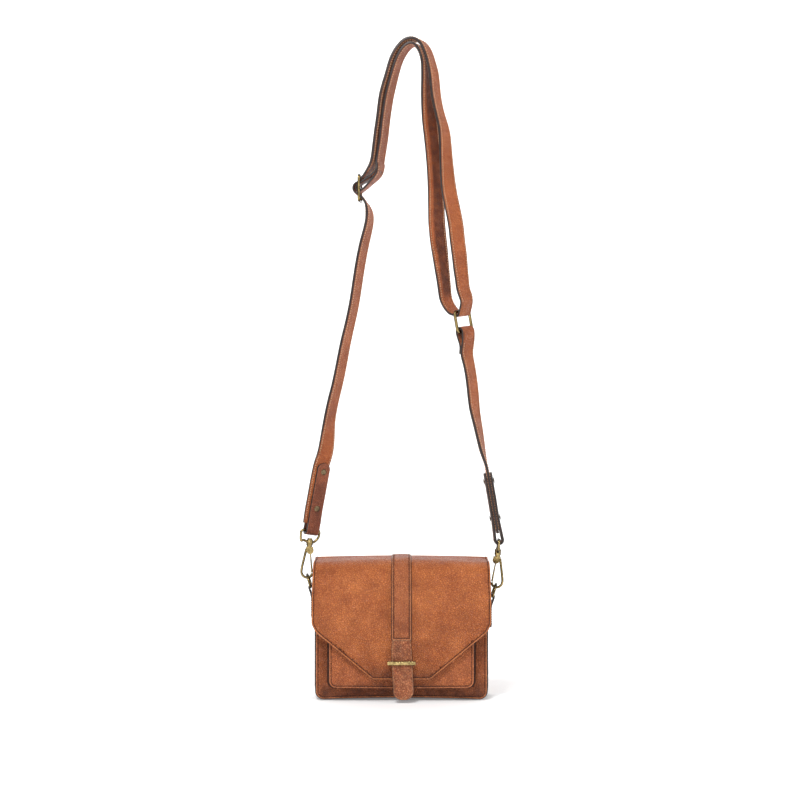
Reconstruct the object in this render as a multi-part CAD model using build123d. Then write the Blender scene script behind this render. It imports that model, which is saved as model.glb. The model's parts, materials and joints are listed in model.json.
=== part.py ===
from build123d import *
import math
import os

# Small structured leather bag with a full flap, a front pocket and a long
# adjustable shoulder strap clipped to two side D-rings.
# Millimetres, +Z up, front faces -Y, left is -X, origin at the bottom centre of the bag.

os.makedirs("parts", exist_ok=True)

# ---------------------------------------------------------------- shared dimensions
HALF_W = 206.0 / 2       # half the outside width of the bag
BODY_H = 156.0           # height of the back panel and gusset
LEATHER = 1.8            # flap, pocket and front panel leather
PANEL_T = 2.0            # back panel
GUSSET_T = 2.0
LINING_T = 0.8
CORNER_R = 10.0          # lower corners of the body
BACK_Y = 30.0            # outer face of the back panel
FRONT_Y = -16.0          # outer face of the front panel
GUSSET_Y0 = FRONT_Y + LEATHER
GUSSET_Y1 = BACK_Y - PANEL_T

POCKET_Y = -28.0         # outer face of the pocket panel
POCKET_LINING_T = 0.7
FLAP_Y = -34.0           # outer face of the hanging flap
FLAP_INNER_Y = FLAP_Y + LEATHER
FLAP_LINING_Y = FLAP_INNER_Y + LINING_T    # bag side of the flap lining
SNAP_Z = 68.0

HANG_Y = 18.0            # plane of the D-rings, hooks and strap
STRAP_W = 20.0
STRAP_T = 3.0

BACKWARD = (0, 1, 0)
CORNER_MID = 1 - math.sqrt(0.5)   # setback of a corner arc's midpoint, per unit radius


# ---------------------------------------------------------------- solid helpers
def save(shape, name):
    solids = shape.solids()
    out = solids[0] if len(solids) == 1 else Compound(children=list(solids))
    out.label = name
    export_step(out, f"parts/{name}.step")


def prism(points, direction, rounds):
    """Closed outline extruded along direction; rounds holds (radius, point indexes)."""
    face = Face(Wire.make_polygon(points, close=True))
    for radius, indexes in rounds:
        corners = [v for v in face.vertices()
                   if any(math.dist((v.X, v.Y, v.Z), points[i]) < 1e-4 for i in indexes)]
        face = face.fillet_2d(radius, corners)
    return Solid.extrude(face, Vector(*direction))


def plate(right_half, y0, y1, rounds=()):
    """Symmetric XZ outline, given by its right half from the top down, from y0 to y1."""
    outline = [(-x, z) for x, z in right_half] + right_half[::-1]
    return prism([(x, y0, z) for x, z in outline], (0, y1 - y0, 0), rounds)


def panel(half_w, z0, z1, y0, y1, radius=None):
    """Upright rectangle, its lower corners rounded when a radius is given."""
    return plate([(half_w, z1), (half_w, z0)], y0, y1, [(radius, [1, 2])] if radius else [])


def profile_x(points, half_w, rounds):
    """Closed YZ outline extruded from -half_w to half_w."""
    return prism([(-half_w, y, z) for y, z in points], (2 * half_w, 0, 0), rounds)


def u_shell(half_w, z0, z1, y0, y1, thick, radius, wall):
    """Panel hollowed from above; wall is the front and back thickness, below 0 for none."""
    return (panel(half_w, z0, z1, y0, y1, radius)
            - panel(half_w - thick, z0 + thick, z1 + 1, y0 + wall, y1 - wall, radius - thick))


def cyl(start, direction, radius, length):
    return Solid.make_cylinder(radius, length, Plane(origin=start, z_dir=direction))


def cyl_back(x, y, z, radius, length):
    """Cylinder running back from its front end."""
    return cyl((x, y, z), BACKWARD, radius, length)


def rod(path, radius, start, tangent):
    """Round wire swept along a path."""
    section = Face(Wire.make_circle(radius, Plane(origin=start, z_dir=tangent)))
    return Solid.sweep(section, path)


# ---------------------------------------------------------------- frames and ribbons
def flat(turn):
    """Horizontal direction, turned in degrees from +X about the vertical."""
    angle = math.radians(turn)
    return Vector(math.cos(angle), math.sin(angle), 0)


def square_to(width, along):
    """Unit width direction made square to the run of a ribbon."""
    return (width - along * width.dot(along)).normalized()


class Frame:
    """Local axes: width across the strap, face out of its face, up along its run.

    lean tips up toward +X and turn turns width about the vertical, both in degrees.
    """

    def __init__(self, origin, lean, turn):
        self.origin = Vector(origin)
        self.up = Vector(math.sin(math.radians(lean)), 0, math.cos(math.radians(lean)))
        self.width = square_to(flat(turn), self.up)
        self.face = self.width.cross(self.up)

    def at(self, face=0.0, up=0.0, width=0.0):
        return self.origin + self.face * face + self.up * up + self.width * width


# A ribbon station is a point on the centre line and the ribbon's width direction.
def stations(frame, points):
    """Stations at (face, up) points, their width along the frame's."""
    return [(frame.at(face, up), frame.width) for face, up in points]


def turned_stations(frame, rows):
    """Stations at (face, up, turn) rows."""
    return [(frame.at(face, up), flat(turn)) for face, up, turn in rows]


def arc(frame, radius, start, end, count):
    """Stations round a bar that runs along the frame's width, angles in degrees."""
    angles = [math.radians(start + (end - start) * i / count) for i in range(count + 1)]
    return stations(frame, [(radius * math.cos(a), radius * math.sin(a)) for a in angles])


def smooth(track, step):
    """Points, run directions and widths along a Hermite curve through the stations."""
    points = [point for point, _ in track]
    widths = [width for _, width in track]
    spans = [(b - a).length for a, b in zip(points, points[1:])]
    slopes = [(b - a) / span for a, b, span in zip(points, points[1:], spans)]
    tangents = [slopes[0]]
    for i in range(1, len(spans)):
        before, after = spans[i - 1], spans[i]
        tangents.append((slopes[i - 1] * after + slopes[i] * before) / (before + after))
    tangents.append(slopes[-1])
    out = []
    for i, span in enumerate(spans):
        p0, p1, t0, t1 = points[i], points[i + 1], tangents[i], tangents[i + 1]
        count = max(1, math.ceil(span / step))
        for k in range(count):
            s = k / count
            point = (p0 * (2 * s**3 - 3 * s**2 + 1) + t0 * ((s**3 - 2 * s**2 + s) * span)
                     + p1 * (-2 * s**3 + 3 * s**2) + t1 * ((s**3 - s**2) * span))
            slope = ((p0 * (6 * s**2 - 6 * s) + p1 * (6 * s - 6 * s**2)) / span
                     + t0 * (3 * s**2 - 4 * s + 1) + t1 * (3 * s**2 - 2 * s))
            out.append((point, slope.normalized(), widths[i] * (1 - s) + widths[i + 1] * s))
    out.append((points[-1], tangents[-1].normalized(), widths[-1]))
    return out


def ribbon(track, width, thick, step=9.0):
    """Flat strap of constant width and thickness lofted through its stations."""
    rings = []
    for point, along, across in smooth(track, step):
        across = square_to(across, along)
        a, b = across * (width / 2), across.cross(along) * (thick / 2)
        rings.append(Wire.make_polygon(
            [point - a - b, point + a - b, point + a + b, point - a + b], close=True))
    return Solid.make_loft(rings, True)


# ---------------------------------------------------------------- bag body
FRONT_INSET = 1.0        # front panel's inset from each side
FRONT_Z0 = 0.8
FRONT_DROP = 2.0         # top edges below the gusset's
LINING_DROP = 4.0

save(panel(HALF_W, 0, BODY_H, GUSSET_Y1, BACK_Y, CORNER_R), "back_panel")
save(u_shell(HALF_W, 0, BODY_H, GUSSET_Y0, GUSSET_Y1, GUSSET_T, CORNER_R, -1), "gusset")
save(panel(HALF_W - FRONT_INSET, FRONT_Z0, BODY_H - FRONT_DROP, FRONT_Y, GUSSET_Y0,
           CORNER_R - FRONT_Z0), "front_panel")
save(u_shell(HALF_W - GUSSET_T, GUSSET_T, BODY_H - LINING_DROP, GUSSET_Y0, GUSSET_Y1,
             LINING_T, CORNER_R - GUSSET_T, LINING_T), "main_lining")

# ---------------------------------------------------------------- front pocket
POCKET_HALF_W = 167.0 / 2
POCKET_Z0, POCKET_Z1 = 16.0, 112.0
POCKET_R = 8.0
POCKET_GUSSET_DROP = 2.0           # top edges below the pocket panel's
POCKET_LINING_DROP = 5.0
pocket_inner_y = POCKET_Y + LEATHER

save(panel(POCKET_HALF_W, POCKET_Z0, POCKET_Z1, POCKET_Y, pocket_inner_y, POCKET_R),
     "pocket_panel")
save(u_shell(POCKET_HALF_W, POCKET_Z0, POCKET_Z1 - POCKET_GUSSET_DROP, pocket_inner_y,
             FRONT_Y, LEATHER, POCKET_R, -1), "pocket_gusset")
save(u_shell(POCKET_HALF_W - LEATHER, POCKET_Z0 + LEATHER, POCKET_Z1 - POCKET_LINING_DROP,
             pocket_inner_y, FRONT_Y, POCKET_LINING_T, POCKET_R - LEATHER, POCKET_LINING_T),
     "pocket_lining")

# ---------------------------------------------------------------- magnetic snap
SOCKET_R, SOCKET_T = 9.0, 2.4
SOCKET_CUP_R, SOCKET_FLOOR = 4.6, 0.6
SOCKET_WASHER_R, SOCKET_WASHER_T, SOCKET_WASHER_BORE_R = 8.0, 0.6, 2.0
STUD_R, STUD_T = 8.5, 0.5
STUD_PLUG_R, STUD_PLUG_L = 2.6, 1.6

# cupped half on the pocket, with its backing washer inside the pocket
save(cyl_back(0, POCKET_Y - SOCKET_T, SNAP_Z, SOCKET_R, SOCKET_T)
     - cyl_back(0, POCKET_Y - SOCKET_T - SOCKET_FLOOR, SNAP_Z, SOCKET_CUP_R, SOCKET_T),
     "snap_socket")
save(cyl_back(0, pocket_inner_y + POCKET_LINING_T, SNAP_Z, SOCKET_WASHER_R, SOCKET_WASHER_T)
     - cyl_back(0, POCKET_Y, SNAP_Z, SOCKET_WASHER_BORE_R, 4), "snap_socket_washer")
# plug on the lining side of the flap
save(cyl_back(0, FLAP_LINING_Y, SNAP_Z, STUD_R, STUD_T)
     + cyl_back(0, FLAP_LINING_Y + STUD_T, SNAP_Z, STUD_PLUG_R, STUD_PLUG_L), "snap_stud")

# ---------------------------------------------------------------- flap
# The flap is one piece of leather; it is cut at its two fold lines so that it can open.
FLAP_TOP_Z = 165.2       # top face of the flap leather
FLAP_BACK_Y = 32.0
FLAP_FOLD_R = 6.2        # outer radius of the top's front and back edges
FOLD_Z = 157.0           # height of both flap folds
FOLD_GAP = 0.4           # half the gap left at a fold
HEM_Z0, HEM_R = 134.0, 4.0
TOP_LINING_BACK_Y = 25.5
STRIP_HALF_W = 23.0 / 2  # raised centre strip
STRIP_T = 1.8
STRIP_BACK_Y = 24.0
STRIP_END_Z = 72.0
above_fold = FOLD_Z + FOLD_GAP
below_fold = FOLD_Z - FOLD_GAP

# right half outlines of the hanging flap below its fold, (x, z): upright side, slanted
# cut, short flat bottom edge
FLAP_OUTLINE = [(HALF_W, below_fold), (HALF_W, 90.0), (98.0, 80.6), (33.0, 26.5)]
FLAP_SIDE_R, FLAP_BOTTOM_R = 7, 6
FLAP_LINING_OUTLINE = [(HALF_W - 1, below_fold), (HALF_W - 1, 90.4), (97.0, 81.6), (32.5, 27.5)]
FLAP_LINING_SIDE_R = 5
SIDE_CORNERS, BOTTOM_CORNERS = [1, 2, 5, 6], [3, 4]

KEEPER_Z = 46.0
KEEPER_W, KEEPER_T, KEEPER_H = 32.0, 2.6, 4.4
KEEPER_EDGE_R = 1.0
KEEPER_GAP = 0.6         # between the keeper bar and the pull tab
POST_X = 14.2
POST_R, POST_HOLE_R = 1.35, 1.5
POST_END = 0.8           # post length behind the flap lining
POST_WASHER_R, POST_WASHER_T, POST_WASHER_BORE_R = 3.4, 0.7, 1.4
TAB_HALF_W = 24.0 / 2    # pull tab under the keeper bar
TAB_T = 3.2
TAB_FOLD_Z = 42.5
TAB_TIP_Z, TAB_TIP_R = 3.5, 9


def front_bend(half_w, back_y, front_y, top_z, thick, radius):
    """Layer running forward along the top and down over the front edge to the fold."""
    outer = [(back_y, top_z), (front_y, top_z), (front_y, above_fold), (back_y, above_fold)]
    inner_y, inner_z = front_y + thick, top_z - thick
    inner = [(back_y + 1, inner_z), (inner_y, inner_z),
             (inner_y, above_fold - 1), (back_y + 1, above_fold - 1)]
    return (profile_x(outer, half_w, [(radius, [1])])
            - profile_x(inner, half_w + 1, [(radius - thick, [1])]))


save(panel(HALF_W, HEM_Z0, below_fold, BACK_Y, FLAP_BACK_Y, HEM_R), "flap_back_hem")

top_outer = [(FLAP_BACK_Y, above_fold), (FLAP_BACK_Y, FLAP_TOP_Z),
             (FLAP_Y, FLAP_TOP_Z), (FLAP_Y, above_fold)]
inner_back_y, inner_top_z = FLAP_BACK_Y - LEATHER, FLAP_TOP_Z - LEATHER
top_inner = [(inner_back_y, above_fold - 1), (inner_back_y, inner_top_z),
             (FLAP_INNER_Y, inner_top_z), (FLAP_INNER_Y, above_fold - 1)]
save(profile_x(top_outer, HALF_W, [(FLAP_FOLD_R, [1, 2])])
     - profile_x(top_inner, HALF_W + 1, [(FLAP_FOLD_R - LEATHER, [1, 2])]), "flap_top_leather")
save(front_bend(HALF_W - 1, TOP_LINING_BACK_Y, FLAP_INNER_Y, inner_top_z, LINING_T,
                FLAP_FOLD_R - LEATHER), "flap_top_lining")
save(front_bend(STRIP_HALF_W, STRIP_BACK_Y, FLAP_Y - STRIP_T, FLAP_TOP_Z + STRIP_T, STRIP_T,
                FLAP_FOLD_R + STRIP_T), "flap_top_strip")

front = plate(FLAP_OUTLINE, FLAP_Y, FLAP_INNER_Y,
              [(FLAP_SIDE_R, SIDE_CORNERS), (FLAP_BOTTOM_R, BOTTOM_CORNERS)])
front_lining = plate(FLAP_LINING_OUTLINE, FLAP_INNER_Y, FLAP_LINING_Y,
                     [(FLAP_LINING_SIDE_R, SIDE_CORNERS)])
for x in (-POST_X, POST_X):
    post_hole = cyl_back(x, FLAP_Y - 3, KEEPER_Z, POST_HOLE_R, 8)
    front = front - post_hole
    front_lining = front_lining - post_hole
save(front, "flap_front_leather")
save(front_lining, "flap_front_lining")
save(panel(STRIP_HALF_W, STRIP_END_Z, below_fold, FLAP_Y - STRIP_T, FLAP_Y),
     "flap_front_strip")

# pull tab: sewn upper half and free lower half
save(panel(TAB_HALF_W, TAB_FOLD_Z + FOLD_GAP, STRIP_END_Z, FLAP_Y - TAB_T, FLAP_Y),
     "pull_tab_upper")
save(panel(TAB_HALF_W, TAB_TIP_Z, TAB_FOLD_Z - FOLD_GAP, FLAP_Y - TAB_T, FLAP_Y, TAB_TIP_R),
     "pull_tab")

# keeper bar across the tab, its two posts passing through the flap to washers
keeper_back_y = FLAP_Y - TAB_T - KEEPER_GAP
bar = Pos(0, keeper_back_y - KEEPER_T / 2, KEEPER_Z) * Box(KEEPER_W, KEEPER_T, KEEPER_H)
bar = fillet(bar.edges().filter_by(Axis.X), KEEPER_EDGE_R)
post_start_y = keeper_back_y - 1       # 1 mm inside the bar
for x in (-POST_X, POST_X):
    bar = bar + cyl_back(x, post_start_y, KEEPER_Z, POST_R,
                         FLAP_LINING_Y + POST_END - post_start_y)
save(bar, "keeper_bar")
save(Compound(children=[
    cyl_back(x, FLAP_LINING_Y, KEEPER_Z, POST_WASHER_R, POST_WASHER_T)
    - cyl_back(x, FLAP_LINING_Y - 1, KEEPER_Z, POST_WASHER_BORE_R, 3)
    for x in (-POST_X, POST_X)]), "keeper_washers")

# ---------------------------------------------------------------- D-rings
DRING_R = 11.5           # centre-line radius of the D-ring arc
DRING_CORNER_R = 3.0
DRING_WIRE_R = 1.3
DRING_RISE = 14.5        # arc top above the bar
LOOP_W, LOOP_T = 17.0, 1.4
LOOP_R = 2.3             # centre-line radius of the leather loop round the bar
# loop legs from the gusset up to the bar and back down:
# (offset from the inner or outer resting line, height from the bar)
LOOP_INNER_LEG = [(0.04, -36), (0.04, -24), (0.04, -15), (0.06, -11), (0.16, -7.5), (0.38, -4.5)]
LOOP_OUTER_LEG = [(1.5, -8), (0.25, -14), (0.1, -24), (0.1, -36)]


def dring(side, sign, bar_x, top_x, bar_z):
    """D-ring leaning outward from its straight bar, and the leather loop holding the bar."""
    lean = math.atan2(top_x - bar_x, DRING_RISE)
    leg_top = DRING_RISE / math.cos(lean) - DRING_R

    def at(y, height):
        return (sign * (bar_x + height * math.sin(lean)), HANG_Y + y,
                bar_z + height * math.cos(lean))

    radius, corner = DRING_R, DRING_CORNER_R
    mid = corner * CORNER_MID
    path = Wire([
        Line(at(-radius + corner, 0), at(radius - corner, 0)),
        ThreePointArc(at(radius - corner, 0), at(radius - mid, mid), at(radius, corner)),
        Line(at(radius, corner), at(radius, leg_top)),
        ThreePointArc(at(radius, leg_top), at(0, leg_top + radius), at(-radius, leg_top)),
        Line(at(-radius, leg_top), at(-radius, corner)),
        ThreePointArc(at(-radius, corner), at(-radius + mid, mid), at(-radius + corner, 0)),
    ])
    save(rod(path, DRING_WIRE_R, at(-radius + corner, 0), BACKWARD), f"dring_{side}")

    # the loop is sewn flat to the gusset below the bar
    inner_x = HALF_W + LOOP_T / 2
    outer_x = inner_x + LOOP_T
    line = [(inner_x + x, z) for x, z in LOOP_INNER_LEG] + [(bar_x - LOOP_R, -1.6)]
    for k in range(9):
        angle = math.pi - math.pi * k / 8
        line.append((bar_x + LOOP_R * math.cos(angle), LOOP_R * math.sin(angle)))
    line += [(bar_x + LOOP_R - 0.9, -3.6)] + [(outer_x + x, z) for x, z in LOOP_OUTER_LEG]
    track = [(Vector(sign * x, HANG_Y, bar_z + z), Vector(*BACKWARD)) for x, z in line]
    save(ribbon(track, LOOP_W, LOOP_T, 4.0), f"dring_tab_{side}")


dring("left", -1, bar_x=106.6, top_x=111.2, bar_z=128.4)
dring("right", 1, bar_x=106.9, top_x=111.6, bar_z=117.1)

# ---------------------------------------------------------------- swivel hooks
# Hook-plane points are (outward, up) from the gate pivot's level on the swivel axis.
HOOK_LINE = [(3.4, 2.0), (4.9, -6.0), (6.4, -14.0), (7.6, -21.0), (7.8, -25.3), (6.5, -29.0),
             (3.4, -31.4), (-0.2, -31.9), (-3.3, -30.2), (-4.5, -27.4), (-4.6, -26.3)]
HOOK_WIRE_R = 1.5
PIVOT = (-1.2, 0.0)
GATE_END = (-4.55, -25.6)
HOUSE_R, HOUSE_HALF_T = 4.1, 2.6
SLOT_HALF_T = 1.4
PIN_BORE_R, PIN_R, PIN_HALF_L = 1.05, 0.95, 2.7
PIN_HEAD_R, PIN_HEAD_T = 1.7, 0.65


class HookFrame:
    """Hook-plane axes: outward toward the hook's leg, up, and back along the gate pin."""

    def __init__(self, frame, outward_sign, swivel):
        angle = math.radians(swivel)
        across = frame.width * math.cos(angle) + frame.face * math.sin(angle)
        self.origin, self.up = frame.origin, frame.up
        self.outward = across * outward_sign
        self.back = self.up.cross(across)

    def at(self, outward, up, back=0.0):
        return self.origin + self.outward * outward + self.up * up + self.back * back

    def block(self, outward, back, up):
        """Box between the (low, high) pairs given on each axis."""
        plane = Plane(origin=self.at(sum(outward) / 2, sum(up) / 2, sum(back) / 2),
                      x_dir=self.outward, z_dir=self.up)
        return plane * Box(outward[1] - outward[0], back[1] - back[0], up[1] - up[0])

    def stem(self, start, radius, length):
        """Cylinder on the swivel axis, upward from start."""
        return cyl(self.at(0, start), self.up, radius, length)

    def on_pin(self, start, radius, length):
        """Cylinder on the gate pin's axis, backward from start."""
        return cyl(self.at(*PIVOT, start), self.back, radius, length)

    def pin_bore(self, radius):
        return self.on_pin(-4, radius, 8)


def hook_body(hook):
    """Stem and head in the eye's boss, neck, slotted housing and bent wire."""
    stem = hook.stem(4.0, 1.6, 9.4)
    head = hook.stem(13.25, 2.9, 1.5)
    neck = hook.stem(3.6, 3.1, 2.5)
    house = (hook.on_pin(-HOUSE_HALF_T, HOUSE_R, 2 * HOUSE_HALF_T)
             + hook.block((-4.6, 3.9), (-HOUSE_HALF_T, HOUSE_HALF_T), (-1.0, 4.6)))
    line = Spline([hook.at(*point) for point in HOOK_LINE])
    wire = rod(Wire([line]), HOOK_WIRE_R, line @ 0, line % 0)
    body = stem + head + neck + house + wire
    body = body - hook.block((-6.5, 1.9), (-SLOT_HALF_T, SLOT_HALF_T), (-6.0, 3.0))
    return body - hook.pin_bore(PIN_BORE_R)


def gate_pin(hook):
    return (hook.on_pin(-PIN_HALF_L, PIN_R, 2 * PIN_HALF_L)
            + hook.on_pin(-3.3, PIN_HEAD_R, PIN_HEAD_T)
            + hook.on_pin(2.65, PIN_HEAD_R, PIN_HEAD_T))


def gate(hook):
    """Hub on the pin and a tapered round finger down to the hook's nose."""
    start = hook.at(PIVOT[0] - 0.25, PIVOT[1] - 1.6, -0.5)
    run = hook.at(*GATE_END) - start
    finger = Solid.make_cone(0.75, 1.15, run.length, Plane(origin=start, z_dir=run))
    return hook.on_pin(-1.25, 2.5, 1.5) + finger - hook.pin_bore(PIN_BORE_R)


def gate_spring(hook):
    """Torsion spring beside the hub, with a leg against the roof of the slot."""
    spring = hook.on_pin(0.4, 2.1, 0.8) + hook.block((-1.6, -0.8), (0.5, 1.1), (1.2, 2.98))
    return spring - hook.pin_bore(1.25)


EYE_HALF_W = 12.0
EYE_TOP = 24.5           # eye top bar above the gate pivot
EYE_BOTTOM = 9.1
EYE_CORNER_R, EYE_WIRE_R = 3.6, 1.5
BOSS_START, BOSS_R, BOSS_L, BOSS_BORE_R = 6.3, 3.9, 6.7, 1.8


def swivel_eye(frame):
    """D-shaped wire with a bored boss at its foot."""
    def at(width, up):
        return frame.at(width=width, up=up)

    side, top = EYE_HALF_W, EYE_TOP
    flat_end, shoulder = side - EYE_CORNER_R, top - EYE_CORNER_R
    mid = EYE_CORNER_R * CORNER_MID
    flank, flank_up = side * 0.72, EYE_BOTTOM + 3.3
    path = Wire([
        Line(at(-flat_end, top), at(flat_end, top)),
        ThreePointArc(at(flat_end, top), at(side - mid, top - mid), at(side, shoulder)),
        Spline([at(side, shoulder), at(flank, flank_up), at(0, EYE_BOTTOM),
                at(-flank, flank_up), at(-side, shoulder)], tangents=[-frame.up, frame.up]),
        ThreePointArc(at(-side, shoulder), at(-side + mid, top - mid), at(-flat_end, top)),
    ])
    eye = (rod(path, EYE_WIRE_R, at(-flat_end, top), frame.width)
           + cyl(at(0, BOSS_START), frame.up, BOSS_R, BOSS_L))
    return eye - cyl(at(0, 2), frame.up, BOSS_BORE_R, 14)


# ---------------------------------------------------------------- strap end tabs
END_TAB_L, END_TAB_W = 80.0, 17.7
END_TAB_T = 2.6          # leather of one layer
END_TAB_GAP = 0.12       # between the strap and each layer
END_WRAP_R = 4.7         # centre-line radius round the eye's top bar
RIVET_HEIGHTS = (26.0, 70.0)
RIVET_HOLE_R, RIVET_R = 1.45, 1.3
RIVET_HEAD_R, RIVET_HEAD_T, RIVET_HEAD_GAP = 4.1, 0.9, 0.02
layer_face = STRAP_T / 2 + END_TAB_GAP + END_TAB_T / 2   # centre line of each tab layer


def cut_rivet_holes(solid, tab):
    for up in RIVET_HEIGHTS:
        solid = solid - cyl(tab.at(-8, up), tab.face, RIVET_HOLE_R, 16)
    return solid


def end_tab(tab):
    """One leather strip folded round the eye's top bar."""
    near = layer_face + 0.9
    track = stations(tab, [(layer_face, up) for up in (END_TAB_L, 60, 40, 22)] + [(near, 11)])
    track += arc(tab, END_WRAP_R, 12, -192, 14)
    track += stations(tab, [(-near, 11)] + [(-layer_face, up) for up in (22, 40, 60, END_TAB_L)])
    return cut_rivet_holes(ribbon(track, END_TAB_W, END_TAB_T, 12.0), tab)


def end_rivets(tab):
    half = layer_face + END_TAB_T / 2
    head = half + RIVET_HEAD_GAP
    rivets = []
    for up in RIVET_HEIGHTS:
        rivet = cyl(tab.at(-half - 0.6, up), tab.face, RIVET_R, 2 * half + 1.2)
        for start in (head, -head - RIVET_HEAD_T):
            rivet = rivet + cyl(tab.at(start, up), tab.face, RIVET_HEAD_R, RIVET_HEAD_T)
        rivets.append(rivet)
    return Compound(children=rivets)


def strap_end(side, sign, x, z, lean, swivel, eye_turn, tab_lean):
    """Hook, eye and end tab with the gate pivot's level at (x, z); returns the tab's frame."""
    axis = Frame((x, HANG_Y, z), lean, 0)
    hook = HookFrame(axis, sign, swivel)
    save(hook_body(hook), f"hook_frame_{side}")
    save(gate_pin(hook), f"gate_pin_{side}")
    save(gate(hook), f"gate_{side}")
    save(gate_spring(hook), f"gate_spring_{side}")
    save(swivel_eye(Frame(axis.origin, lean, eye_turn)), f"hook_eye_{side}")
    tab = Frame(axis.at(up=EYE_TOP), tab_lean, eye_turn)
    save(end_tab(tab), f"end_tab_{side}")
    save(end_rivets(tab), f"end_rivets_{side}")
    return tab


left_tab = strap_end("left", -1, x=-108.8, z=170.6, lean=3, swivel=0.0, eye_turn=28.0,
                     tab_lean=10.3)
right_tab = strap_end("right", 1, x=113.0, z=159.2, lean=4, swivel=12.0, eye_turn=90.0,
                      tab_lean=-9.5)

# ---------------------------------------------------------------- strap runs
# rows: x, z on the centre line and the turn of the strap about the vertical
LEFT_LEG = [
    (-89.8, 286.3, 31), (-87.9, 298.2, 37), (-86.6, 310.3, 46), (-85.3, 322.3, 54),
    (-80.9, 345.8, 57), (-75.1, 369.4, 58), (-70.3, 393.1, 58), (-65.8, 416.7, 60),
    (-60.3, 440.3, 62), (-55.4, 464.1, 62), (-51.8, 487.8, 62), (-48.1, 511.2, 62),
    (-43.8, 534.7, 66), (-40.4, 549.0, 70), (-38.4, 562.4, 76), (-38.8, 570.5, 80),
]
OUTER_RUN = [
    (-31.9, 628.1, 66), (-29.8, 641.2, 66), (-28.3, 653.1, 66), (-26.9, 664.8, 66),
    (-25.1, 676.6, 66), (-23.6, 688.4, 66), (-22.2, 700.1, 66), (-20.2, 711.6, 66),
    (-16.8, 723.2, 66), (-13.2, 735.1, 66), (-10.0, 746.8, 66), (-7.4, 753.4, 66),
    (-3.7, 760.1, 66), (1.0, 766.4, 66), (6.0, 771.4, 66), (12.5, 773.8, 66), (19.0, 773.0, 66),
    (25.2, 769.2, 66), (29.8, 763.0, 68), (32.8, 756.0, 72), (34.9, 748.5, 75), (37.6, 736.4, 74),
    (38.9, 724.4, 72), (39.6, 712.6, 69), (40.8, 701.0, 65), (42.4, 689.6, 62), (45.1, 678.1, 59),
    (48.1, 666.2, 55), (49.8, 654.0, 52), (50.8, 642.1, 49), (51.8, 630.3, 46), (52.9, 618.5, 42),
    (53.7, 606.8, 38), (54.9, 595.5, 34), (56.7, 584.3, 32), (59.0, 572.7, 32), (61.4, 560.7, 32),
    (63.3, 548.5, 32), (64.4, 536.6, 33), (65.9, 525.1, 33), (67.6, 513.5, 35), (69.6, 501.8, 38),
    (71.6, 489.8, 42), (73.2, 477.7, 44),
]
INNER_RUN = [
    (-25.7, 629.3, 64), (-23.9, 641.1, 64), (-21.9, 652.9, 64),
    (-20.4, 664.8, 64), (-19.2, 676.6, 64), (-17.7, 688.3, 64), (-15.9, 700.0, 64),
    (-13.7, 711.5, 64), (-10.7, 723.3, 65), (-7.6, 735.2, 67), (-4.4, 746.0, 68),
    (-1.8, 752.4, 68), (1.6, 758.6, 68), (5.6, 764.0, 68), (11.0, 767.8, 68), (16.6, 767.8, 68),
    (21.6, 763.8, 68), (25.0, 757.0, 70), (27.1, 748.1, 72), (27.9, 736.0, 72), (27.9, 724.2, 70),
    (27.9, 712.5, 67), (28.5, 700.8, 65), (29.5, 689.3, 62), (31.1, 677.7, 59), (33.2, 665.9, 55),
    (34.5, 654.0, 52), (35.7, 642.2, 49), (36.8, 630.3, 46), (37.7, 618.4, 43), (38.4, 606.6, 40),
    (39.0, 594.8, 38), (39.4, 583.0, 36), (39.9, 571.3, 36), (40.3, 559.8, 36), (41.5, 548.3, 36),
    (42.8, 536.7, 36), (44.6, 525.0, 36), (46.1, 513.2, 38), (47.7, 501.4, 40), (49.3, 489.5, 42),
    (51.0, 478.0, 44),
]
SHORT_RUN = [
    (76.6, 404.0, 46), (79.2, 392.4, 50), (81.3, 381.0, 52), (83.3, 366.6, 52), (85.0, 350.1, 52),
    (86.2, 337.7, 56), (88.7, 324.6, 68), (91.5, 312.3, 75), (93.8, 300.3, 79), (95.9, 288.3, 84),
]
# rows: z, offset of the outer run forward and the inner run back, on the falling side
SPREAD = [(453, 11.0), (478, 11.5), (490, 12.5), (525, 15.6), (583, 12.6), (640, 6.3), (701, 3.0),
          (747, 1.1), (775, 0.0), (900, 0.0)]
PEAK_X, PEAK_Z = 12, 775           # where the strap turns from rising to falling
RISING_SPREAD, RISING_FADE = 1.2, 60     # offset, and the height over which it fades out


def spread(x, z):
    if x <= PEAK_X:
        return RISING_SPREAD * min(1, (PEAK_Z - z) / RISING_FADE)
    for (z0, s0), (z1, s1) in zip(SPREAD, SPREAD[1:]):
        if z0 <= z <= z1:
            return s0 + (s1 - s0) * (z - z0) / (z1 - z0)
    return 0.0


def run_stations(rows, side=0):
    """Stations of a run; side is -1 to spread forward, 1 back, 0 to stay in the hang plane."""
    return [(Vector(x, HANG_Y + side * spread(x, z), z), flat(turn)) for x, z, turn in rows]


RING_HALF_W, RING_HALF_H = 12.5, 12.3
RING_WIRE_R = 1.9
RING_WRAP_R = 4.9        # strap centre line round the ring's bars
SLIDER_HALF_W, SLIDER_HALF_H = 12.3, 14.9
SLIDER_WIRE_R = 1.6
HARDWARE_CORNER_R = 4.0
RING_LEAN, RING_TURN = -9.8, 44

slider = Frame((-49.0, HANG_Y, 597.5), 0, 85)
ring = Frame((73.0, HANG_Y, 441.0), RING_LEAN, RING_TURN)
ring_top = Frame(ring.at(up=RING_HALF_H), RING_LEAN, RING_TURN)
ring_low = Frame(ring.at(up=-RING_HALF_H), RING_LEAN, RING_TURN)

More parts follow.
